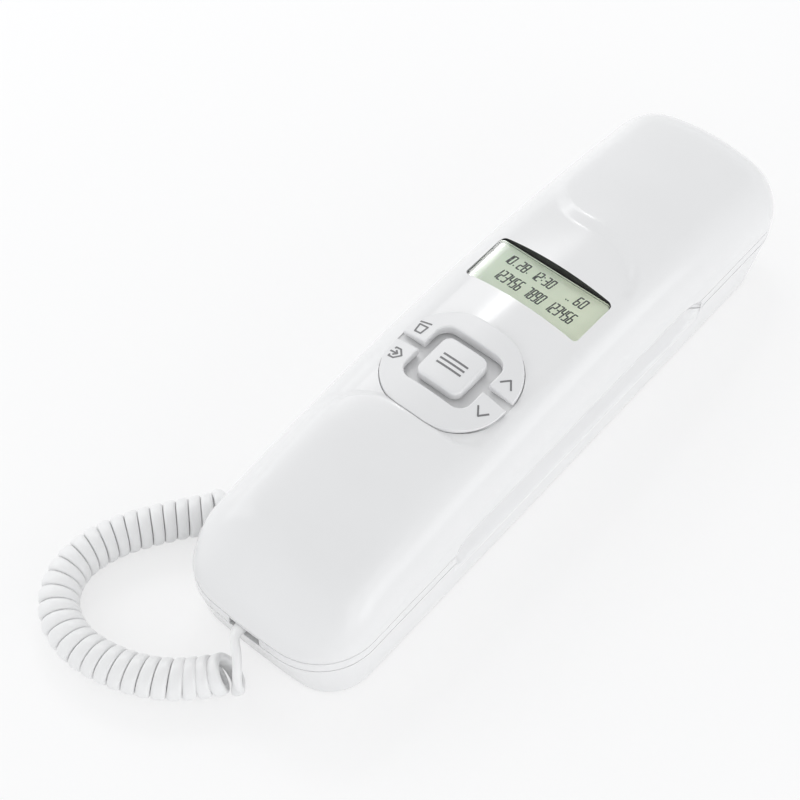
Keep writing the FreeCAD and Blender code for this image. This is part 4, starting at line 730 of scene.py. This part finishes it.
def bar(edit, ends, stroke):
    """A thin printed bar between two places on the glass, a little longer at each end."""
    (x0, y0), (x1, y1) = ends
    way = Vector((x1 - x0, y1 - y0)).normalized()
    nx, ny = -way.y * stroke / 2, way.x * stroke / 2
    x0, y0 = x0 - way.x * stroke * 0.1, y0 - way.y * stroke * 0.1
    x1, y1 = x1 + way.x * stroke * 0.1, y1 + way.y * stroke * 0.1
    rim = [(x0 + nx, y0 + ny), (x0 - nx, y0 - ny), (x1 - nx, y1 - ny), (x1 + nx, y1 + ny)]
    one, two = (
        [edit.verts.new((x / 1000, y / 1000, z / 1000)) for x, y in rim]
        for z in (figures_low, figures_high))
    edit.faces.new(one[::-1])
    edit.faces.new(two)
    for n in range(4):
        edit.faces.new((one[n], one[(n + 1) % 4], two[(n + 1) % 4], two[n]))


def seven_parts(edit, figure, x, y, wide, high):
    """A slanted figure of up to seven bars, with its lower left corner at x and y."""
    def at(u, v):
        return (x + u * wide + v * high * 0.17, y + v * high)

    bars = {
        "a": (at(0, 1), at(1, 1)), "b": (at(1, 1), at(1, 0.53)), "c": (at(1, 0.47), at(1, 0)),
        "d": (at(0, 0), at(1, 0)), "e": (at(0, 0.47), at(0, 0)), "f": (at(0, 1), at(0, 0.53)),
        "g": (at(0, 0.5), at(1, 0.5)),
    }
    for part in parts_of[figure]:
        bar(edit, bars[part], figure_stroke)


edit = bmesh.new()
for n, figure in enumerate("123456 7890 123456"):
    if figure != " ":
        seven_parts(edit, figure, -13.6 + n * 1.52, 12.5, 0.95, 3.8)
upper_row = (-14.7, -13.2, -10.1, -8.5, -5.2, -3.7, -1.1, 0.6, 10.0, 11.8)
for x, figure in zip(upper_row, "1028123060"):
    seven_parts(edit, figure, x, 18.95, 1.05, 3.3)
for x, y in ((-1.75, 20.0), (-1.55, 21.4), (-11.2, 19.2), (-6.6, 19.4), (7.6, 19.0), (8.3, 19.0)):
    bar(edit, ((x - 0.16, y), (x + 0.16, y)), 0.45)
numbers = placed(edit, "display_numbers")
ink = Finish("display_ink")
fade = ink.noise(ink.places(), 800.0, 2.0)
ink.skin(ink.mix(fade, (0.012, 0.016, 0.013, 1), (0.026, 0.032, 0.026, 1)), 0.45 + fade * 0.1)
ink.paint(numbers)
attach(numbers, "handset")

# Display window
# A clear acrylic window with a polished top, moulded and glued on its ledge over the
# display, with its face a little below the crowned surface.
window = Finish("clear_acrylic")
rub = window.noise(window.places(), 300.0, 3.0)
window.skin(
    window.mix(rub, (0.97, 0.99, 0.97, 1), (0.99, 1.0, 0.99, 1)), 0.02 + rub * 0.01,
    Transmission_Weight=1.0, IOR=1.49)
window.paint(nodes["display_lens"])

# Front keys
# A square menu key and two C-shaped rocker keys round it, moulded in white ABS with crowned
# tops and soft rims. Each stands on a stem or on pegs that press the rubber mat below.
def key_top(x, y):
    """Height of the keys' crowned tops."""
    return 47.09 - (y - top_y) ** 2 / bend_along - x * x / 138


def rounded_line(middle, wide, deep, corner):
    """Places round a rounded rectangle, from the middle of its right side over its top."""
    (cx, cy), places = middle, []
    for sx, sy, first in ((1, 1, 0), (-1, 1, 90), (-1, -1, 180), (1, -1, 270)):
        for n in range(49):
            a = math.radians(first + 90 * n / 48)
            x = cx + sx * (wide / 2 - corner) + corner * math.cos(a)
            places.append((x, cy + sy * (deep / 2 - corner) + corner * math.sin(a)))
    return [(cx + wide / 2, cy)] + places + [(cx + wide / 2, cy)]


def clipped(line, level, keep):
    """The part of a closed line on one side of a level, with its two ends on the level."""
    kept = []
    for (x0, y0), (x1, y1) in zip(line, line[1:]):
        in0, in1 = (y0 - level) * keep > 0, (y1 - level) * keep > 0
        if in0:
            kept.append((x0, y0))
        if in0 != in1:
            share = (level - y0) / (y1 - y0)
            kept.append((x0 + (x1 - x0) * share, level))
    jump = max(range(len(kept)), key=lambda n: (Vector(kept[n]) - Vector(kept[n - 1])).length)
    return kept[jump:] + kept[:jump]


def along_line(line, marks):
    """Places at lengths along a line, where marks gives the lengths from the whole one."""
    walked = [0.0]
    for one, two in zip(line, line[1:]):
        walked.append(walked[-1] + (Vector(two) - Vector(one)).length)
    found, k = [], 0
    for mark in marks(walked[-1]):
        while k < len(walked) - 2 and walked[k + 1] < mark:
            k += 1
        share = (mark - walked[k]) / max(walked[k + 1] - walked[k], 1e-9)
        found.append(Vector(line[k]).lerp(Vector(line[k + 1]), min(max(share, 0.0), 1.0)))
    return found


def within(place, middle, wide, deep, corner):
    """Distance in from a rounded rectangle's edge."""
    qx = abs(place.x - middle[0]) - (wide / 2 - corner)
    qy = abs(place.y - middle[1]) - (deep / 2 - corner)
    return corner - math.hypot(max(qx, 0), max(qy, 0)) - min(max(qx, qy), 0)


def key_cap(name, rows, closed, edge_distance, rim):
    """A key's cap from rows of places across its top, with a rounded rim and a flat bottom."""
    edit = bmesh.new()
    tops, floors = [], []
    for row in rows:
        top, floor = [], []
        for place in row:
            d = edge_distance(place)
            drop = rim - math.sqrt(max(rim * rim - (rim - d) ** 2, 0)) if d < rim else 0.0
            x, y, z = place.x, place.y, key_top(place.x, place.y) - drop
            top.append(edit.verts.new((x / 1000, y / 1000, z / 1000)))
            floor.append(edit.verts.new((x / 1000, y / 1000, cap_low / 1000)))
        tops.append(top)
        floors.append(floor)
    for grid in (tops, floors):
        for one, two in zip(grid, grid[1:] + (grid[:1] if closed else [])):
            for a, b, c, d in zip(one, one[1:], two[1:], two):
                edit.faces.new((a, b, c, d))
    first = [[row[0] for row in grid] for grid in (tops, floors)]
    if closed:
        pairs = [[line + line[:1] for line in first]]
    else:
        last = [[row[-1] for row in grid] for grid in (tops, floors)]
        pairs = [first, last, (tops[0], floors[0]), (tops[-1], floors[-1])]
    for upper, lower in pairs:
        for a, b, c, d in zip(upper, upper[1:], lower[1:], lower):
            edit.faces.new((a, b, c, d))
    bmesh.ops.remove_doubles(edit, verts=edit.verts, dist=0.0000005)
    return placed(edit, name)


def fused(piece, *tools):
    """Fuses tools to a piece and smooths it."""
    for tool in tools:
        finished(piece, "BOOLEAN", operation="UNION", solver="EXACT", object=tool)
        bpy.data.objects.remove(tool)
    smoothed(piece, 40)


def near_both(total, count):
    """Lengths from 0 to a total, close together near both rims and even between them."""
    near = [0.0, 0.03, 0.12, 0.26, 0.45, 0.7]
    even = [near[-1] + (total - 2 * near[-1]) * n / count for n in range(1, count)]
    return near + even + [total - d for d in near[::-1]]


cap_low, peg_high = 43.4, 43.9
outer_edge = ((0.4, -22.6), 38.0, 35.8, 15.8)
inner_edge = ((0.3, -21.9), 22.2, 20.4, 4.0)
for name, node, level, keep, at_y in (
        ("upper_rocker_cap", "upper_rocker_key", -20.3, 1, peg_y[0]),
        ("lower_rocker_cap", "lower_rocker_key", -23.1, -1, peg_y[1])):
    outer, inner = (
        along_line(clipped(rounded_line(*edge), level, keep), lambda total: near_both(total, 90))
        for edge in (outer_edge, inner_edge))
    rows = []
    for one, two in zip(outer, inner):
        wide = (two - one).length
        rows.append([one.lerp(two, d / wide) for d in near_both(wide, 7)])

    def edge_distance(place):
        to_end = (place.y - level) * keep
        return max(0.0, min(within(place, *outer_edge), -within(place, *inner_edge), to_end))

    cap = key_cap(name, rows, False, edge_distance, 0.45)
    fused(cap, *[rod(x, at_y, 1.2, 39.8, peg_high) for x in peg_x])
    key_white.paint(cap)
    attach(cap, node.replace("_key", ""))
    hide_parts(node)

square = ((0.0, -22.0), 14.8, 14.7, 2.6)
rim_places = along_line(rounded_line(*square), lambda total: [total * n / 144 for n in range(144)])
middle = Vector(square[0])
rows = []
for place in rim_places:
    wide = (place - middle).length
    near = [0.0, 0.03, 0.12, 0.27, 0.48, 0.75, 1.1]
    stops = near + [near[-1] + (wide - near[-1]) * n / 6 for n in range(1, 7)]
    rows.append([place.lerp(middle, s / wide) for s in stops])
menu_cap = key_cap("menu_key_cap", rows, True, lambda p: max(0.0, within(p, *square)), 0.85)
fused(menu_cap, rod(stem_x, stem_y, 3.0, 39.9, peg_high))
key_white.paint(menu_cap)
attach(menu_cap, "menu")
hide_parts("menu_key")
front_caps = {
    "menu": menu_cap, "upper_rocker": bpy.data.objects["upper_rocker_cap"],
    "lower_rocker": bpy.data.objects["lower_rocker_cap"],
}

# Key marks
# Grey pad-printed marks on the front keys: three bars, a bin, an entry arrow and two
# pointers. Each lies on its key's crowned top and moves with it.
mark_grey = moulded("mark_grey_print", (0.185, 0.185, 0.19), 0.5, mottle=0.06)


def stroked(edit, key, lines, stroke):
    """Printed strokes laid on a key's top through each line of places."""
    for line in lines:
        line = [Vector(p) for p in line]
        for one, two in zip(line, line[1:]):
            way = (two - one).normalized()
            aside = Vector((-way.y, way.x)) * stroke / 2
            one, two = one - way * stroke * 0.28, two + way * stroke * 0.28
            steps = max(2, int((two - one).length / 0.5))
            rows = []
            for n in range(steps + 1):
                middle = one.lerp(two, n / steps)
                row = []
                for place in (middle + aside, middle - aside):
                    found = key.ray_cast((place.x / 1000, place.y / 1000, above_all), (0, 0, -1))
                    row.append(found[1] + Vector((0, 0, print_gap)))
                rows.append([edit.verts.new(p + Vector((0, 0, up))) for p in row for up in (0, print_high)])
            for a, b in zip(rows, rows[1:]):
                for m, n in ((1, 3), (2, 0), (0, 1), (3, 2)):
                    edit.faces.new((a[m], a[n], b[n], b[m]))
            for row in (rows[0], rows[-1]):
                edit.faces.new((row[0], row[1], row[3], row[2]))


above_all, print_gap, print_high = 0.08, 0.00002, 0.00003
for name, body, lines, stroke in (
    ("menu_mark", "menu", [[(-4.0, y), (4.0, y)] for y in (-20.4, -22.0, -23.6)], 0.62),
    ("upper_key_marks", "upper_rocker", [
        [(-16.3, -15.9), (-15.9, -18.6), (-13.9, -18.6), (-13.5, -15.9), (-16.3, -15.9)],
        [(-16.7, -15.0), (-13.3, -14.5)],
        [(13.1, -17.6), (14.9, -15.3), (16.7, -17.6)]], 0.52),
    ("lower_key_marks", "lower_rocker", [
        [(-14.6, -26.0), (-13.0, -27.7), (-14.6, -29.4), (-16.2, -29.4), (-16.2, -28.9)],
        [(-16.2, -26.4), (-16.2, -26.0), (-14.6, -26.0)],
        [(-16.8, -27.7), (-14.5, -27.7)], [(-15.4, -26.9), (-14.5, -27.7), (-15.4, -28.5)],
        [(13.3, -27.3), (15.1, -29.7), (16.9, -27.3)]], 0.52),
):
    edit = bmesh.new()
    stroked(edit, front_caps[body], lines, stroke)
    mark = placed(edit, name)
    mark_grey.paint(mark)
    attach(mark, body)

# Dial key marks
# Plain digits, star and hash, pad printed on the dial keys' faces, which look down at the
# base. Each moves with its key.
faces = {"digit_key_%d" % n: str(n) for n in range(10)}
faces.update(star_key="*", hash_key="#")
for name, figure in faces.items():
    low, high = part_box(name)
    bpy.ops.object.select_all(action="DESELECT")
    bpy.ops.object.text_add(location=(0, 0, 0))
    mark = bpy.context.object
    mark.data.body = figure
    mark.data.size = 0.0046
    mark.data.align_x = "CENTER"
    mark.data.align_y = "CENTER"
    mark.data.extrude = print_gap
    bpy.ops.object.convert(target="MESH")
    mark = bpy.context.object
    mark.name = name + "_mark"
    middle = [(mark.bound_box[0][n] + mark.bound_box[6][n]) / 2 for n in (0, 1)]
    turn_over = Matrix.Rotation(math.pi, 4, "Y")
    place = Matrix.Translation(((low[0] + high[0]) / 2, (low[1] + high[1]) / 2, low[2] - print_gap))
    mark.data.transform(place @ turn_over @ Matrix.Translation((-middle[0], -middle[1], 0)))
    mark_grey.paint(mark)
    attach(mark, name)

# Curly cord
# A flat four-wire cord in a soft white jacket, wound hot into a tight coil. It leaves the
# handset's slot, lies on the table round the mouth end and goes back into the base's left
# wall. A route through the coil's middle and one for each straight tail carry it.
def smooth_line(name, points):
    """Points of a NURBS line, read from the curve as the mesh tools give it."""
    data = bpy.data.curves.new(name, "CURVE")
    data.dimensions = "3D"
    data.resolution_u = 40
    spline = data.splines.new("NURBS")
    spline.points.add(len(points) - 1)
    for point, place in zip(spline.points, points):
        point.co = (place[0] / 1000, place[1] / 1000, place[2] / 1000, 1)
    spline.order_u = 3
    spline.use_endpoint_u = True
    line = bpy.data.objects.new(name, data)
    scene.collection.objects.link(line)
    bpy.context.view_layer.update()
    mesh = bpy.data.meshes.new_from_object(line)
    places = [v.co.copy() for v in mesh.vertices]
    bpy.data.meshes.remove(mesh)
    bpy.data.objects.remove(line)
    bpy.data.curves.remove(data)
    return places


route = smooth_line("coil_route", [
    (x, y, 6.0) for x, y in (
        (0.7, -114.5), (-4.2, -121.0), (-13.0, -128.7), (-25.5, -133.8), (-38.5, -135.0), (-49.6, -129.8),
        (-55.4, -118.5), (-53.0, -105.0), (-46.0, -93.0), (-38.6, -83.0), (-35.9, -79.2), (-35.4, -76.3))
])
coil_radius, cord_thick, tail_wide, steps = 0.0045, 0.0025, 0.0036, 44
first_angle, last_angle = 4.04, 1.5 * math.pi + 31 * 2 * math.pi
walked = [0.0]
for one, two in zip(route, route[1:]):
    walked.append(walked[-1] + (two - one).length)


def bend_at(k):
    """Sideways curvature of the route: positive where it turns to the left."""
    a, b, c = route[max(k - 10, 0)], route[k], route[min(k + 10, len(route) - 1)]
    if a == b or b == c:
        return 0.0
    return (b - a).cross(c - b).z / ((b - a).length * (c - b).length * (c - a).length / 2)


# The turns stand a little further apart round a bend, where their inner sides meet.
turned = [0.0]
for k in range(1, len(route)):
    ease = 1 - 0.5 * coil_radius * abs(bend_at(k)) - 0.12 * soft(1 - walked[k] / 0.009)
    turned.append(turned[-1] + (walked[k] - walked[k - 1]) * ease)
turned = [first_angle + a * (last_angle - first_angle) / turned[-1] for a in turned]
coil_points, coil_outward, coil_wide = [], [], []
k = 0
for n in range(int((last_angle - first_angle) / (2 * math.pi) * steps) + 1):
    angle = first_angle + n * 2 * math.pi / steps
    while k < len(turned) - 2 and turned[k + 1] < angle:
        k += 1
    share = (angle - turned[k]) / (turned[k + 1] - turned[k])
    middle = route[k].lerp(route[k + 1], share)
    along = (route[min(k + 4, len(route) - 1)] - route[max(k - 3, 0)]).normalized()
    # The first turns lean back a little, so that the coil's bore shows.
    along = (along + Vector((0, 0, -0.55)) * soft(1 - n / (3.6 * steps))).normalized()
    side = along.cross(Vector((0, 0, 1))).normalized()
    outward = side * math.cos(angle) + side.cross(along) * math.sin(angle)
    coil_points.append(middle + outward * coil_radius)
    coil_outward.append(outward)
    spacing = (walked[k + 1] - walked[k]) / (turned[k + 1] - turned[k]) * 2 * math.pi
    here = spacing * (1 + coil_radius * bend_at(k) * math.cos(angle))
    coil_wide.append(min(max(here - 0.00012, 0.0026), 0.0043))


def mm(v):
    """A place in millimetres."""
    return (v.x * 1000, v.y * 1000, v.z * 1000)


# Each tail runs straight out of its jack and turns into the coil's first or last turn.
first_way = (coil_points[0] - coil_points[1]).normalized()
last_way = (coil_points[-1] - coil_points[-2]).normalized()
handset_tail = smooth_line("handset_tail", [
    (-1.5, -103.35, 17.45), (-1.5, -106.0, 17.45), (-1.3, -109.8, 17.4), (2.4, -112.6, 15.2),
    (5.3, -116.4, 9.6), mm(coil_points[0] + first_way * 0.0042), mm(coil_points[0]),
])
base_tail = smooth_line("base_tail", [
    mm(coil_points[-1]), mm(coil_points[-1] + last_way * 0.0024), (-31.9, -74.0, 6.0), (-29.6, -74.0, 6.0),
])


def thin(line, gap):
    """The same line with its points about a gap apart, both ends kept."""
    kept = [line[0]]
    for place in line[1:-1]:
        if (place - kept[-1]).length >= gap and (place - line[-1]).length >= gap * 0.6:
            kept.append(place)
    return kept + [line[-1]]


handset_tail, base_tail = thin(handset_tail, 0.0007), thin(base_tail, 0.0007)
cord_line = handset_tail[:-1] + coil_points + base_tail[1:]
count = len(cord_line)
ways = [(cord_line[min(i + 1, count - 1)] - cord_line[max(i - 1, 0)]).normalized() for i in range(count)]
lead, tail_start = len(handset_tail) - 1, len(handset_tail) - 1 + len(coil_points)
outs = [None] * count
outs[lead:tail_start] = coil_outward
wide = [tail_wide] * lead + coil_wide + [tail_wide] * (count - tail_start)
for n in range(12):
    share = n / 12
    wide[lead + n] = tail_wide * (1 - share) + coil_wide[n] * share
    wide[tail_start - 1 - n] = tail_wide * (1 - share) + coil_wide[-1 - n] * share


def carried(order, out):
    """An outward direction carried along part of the cord without twist."""
    found = {}
    for i in order:
        out = (out - ways[i] * out.dot(ways[i])).normalized()
        found[i] = out
    return found


tails = (list(range(lead - 1, -1, -1)), lead), (list(range(tail_start, count)), tail_start - 1)
for part, coil_end in tails:
    near = carried(part, outs[coil_end])
    far = carried(part[::-1], Vector((0, 0, 1)))
    if near[part[-1]].dot(far[part[-1]]) < 0:
        far = {i: v * -1 for i, v in far.items()}
    # On its way down from the slot the flat cord stands on edge.
    edge_on = Vector((-0.76, -0.65, 0)) if coil_end == lead else None
    for n, i in enumerate(part):
        at = n / len(part)
        w = soft(at / 0.8)
        out = near[i] * (1 - w) + far[i] * w
        if edge_on and at < 0.5:
            out = near[i].lerp(edge_on, soft(at / 0.35))
        elif edge_on:
            out = edge_on.lerp(far[i], soft((at - 0.62) / 0.3))
        outs[i] = (out - ways[i] * out.dot(ways[i])).normalized()

# A ring of 16 places with a flattened, square-shouldered section is set round each point.
bm = bmesh.new()
rings = []
for i in range(count):
    out = (outs[i] - ways[i] * outs[i].dot(ways[i])).normalized()
    across = ways[i].cross(out)
    ring = []
    for n in range(16):
        a = 2 * math.pi * (n + 0.5) / 16
        c, s = math.cos(a), math.sin(a)
        x = math.copysign(abs(c) ** 0.62, c) * wide[i] / 2
        y = math.copysign(abs(s) ** 0.80, s) * cord_thick / 2
        ring.append(bm.verts.new(cord_line[i] + across * x + out * y))
    rings.append(ring)
for one, two in zip(rings, rings[1:]):
    for n in range(16):
        bm.faces.new((one[n], one[(n + 1) % 16], two[(n + 1) % 16], two[n]))
bm.faces.new(rings[0][::-1])
bm.faces.new(rings[-1])
cord = placed(bm, "handset_cord")
cord.data.shade_smooth()
cord_length = sum((b - a).length for a, b in zip(cord_line, cord_line[1:]))
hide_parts("curly_cord", "handset_cord_tail", "base_cord_tail")
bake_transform(cord)
jacket = moulded("cord_jacket_white", (0.84, 0.84, 0.84), 0.34, grain=0.05)
jacket.paint(cord)

# Table and light
# A pale table top under a pale sky that is brightest at its rim, with soft lamps round the
# telephone. One of them stands behind it on the left and shows in the display window.
bpy.ops.object.select_all(action="DESELECT")
bpy.ops.mesh.primitive_plane_add(size=6, location=(0, 0, 0))
table_top = bpy.context.object
table_top.name = "table_top"
table_top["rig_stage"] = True
white = Finish("table_white")
rays = white.node("ShaderNodeLightPath")
seen = rays.output("Is Camera Ray").maximum(rays.output("Is Glossy Ray")).maximum(
    rays.output("Is Transmission Ray"))
lit = white.node("ShaderNodeBsdfDiffuse", {}, {"Color": (0.88, 0.88, 0.885, 1)})
glow = white.node("ShaderNodeEmission", {}, {"Color": (1, 1, 1, 1), "Strength": 1.03})
# Where it is looked at, the table is mostly an even white, and it still takes shadows.
white.surface(white.node("ShaderNodeMixShader", {}, {0: seen * 0.62, 1: lit, 2: glow}))
white.paint(table_top)

world = bpy.data.worlds.new("pale_sky")
scene.world = world
world.use_nodes = True
sky = world.node_tree
ground = sky.nodes["Background"]
ground.inputs["Color"].default_value = (0.98, 0.99, 1.0, 1)
ways_up = sky.nodes.new("ShaderNodeTexCoord")
parts = sky.nodes.new("ShaderNodeSeparateXYZ")
shade = sky.nodes.new("ShaderNodeMapRange")
for key, value in (("From Min", 0.0), ("From Max", 1.0), ("To Min", 1.19), ("To Max", 0.50)):
    shade.inputs[key].default_value = value
sky.links.new(ways_up.outputs["Generated"], parts.inputs[0])
sky.links.new(parts.outputs["Z"], shade.inputs["Value"])
sky.links.new(shade.outputs["Result"], ground.inputs["Strength"])


def lamp(name, place, aim, wide, deep, watts):
    """A soft lamp at a place; without an aim it faces straight down."""
    bpy.ops.object.light_add(type="AREA", location=place)
    made = bpy.context.object
    made.name = name
    made.data.shape = "RECTANGLE"
    made.data.size, made.data.size_y = wide, deep
    made.data.energy = watts
    if aim:
        made.rotation_euler = (Vector(aim) - Vector(place)).to_track_quat("-Z", "Y").to_euler()


lamp("soft_box", (-0.607, 0.50, 0.736), None, 0.50, 0.50, 1.7)
lamp("window_lamp", (-0.407, 0.486, 0.730), None, 0.10, 0.15, 0.42)
lamp("left_lamp", (-0.80, -0.05, 0.45), (0, 0, 0), 0.9, 0.6, 1.8)
lamp("right_lamp", (0.75, -0.25, 0.35), (0, 0, 0.01), 0.8, 0.5, 1.08)
lamp("front_lamp", (-0.05, -0.90, 0.35), (0, -0.05, 0.01), 0.8, 0.5, 0.5)
lamp("low_lamp", (0.6, 0.1, 0.12), (0, 0, 0.01), 0.8, 0.2, 0.5)

low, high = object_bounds()
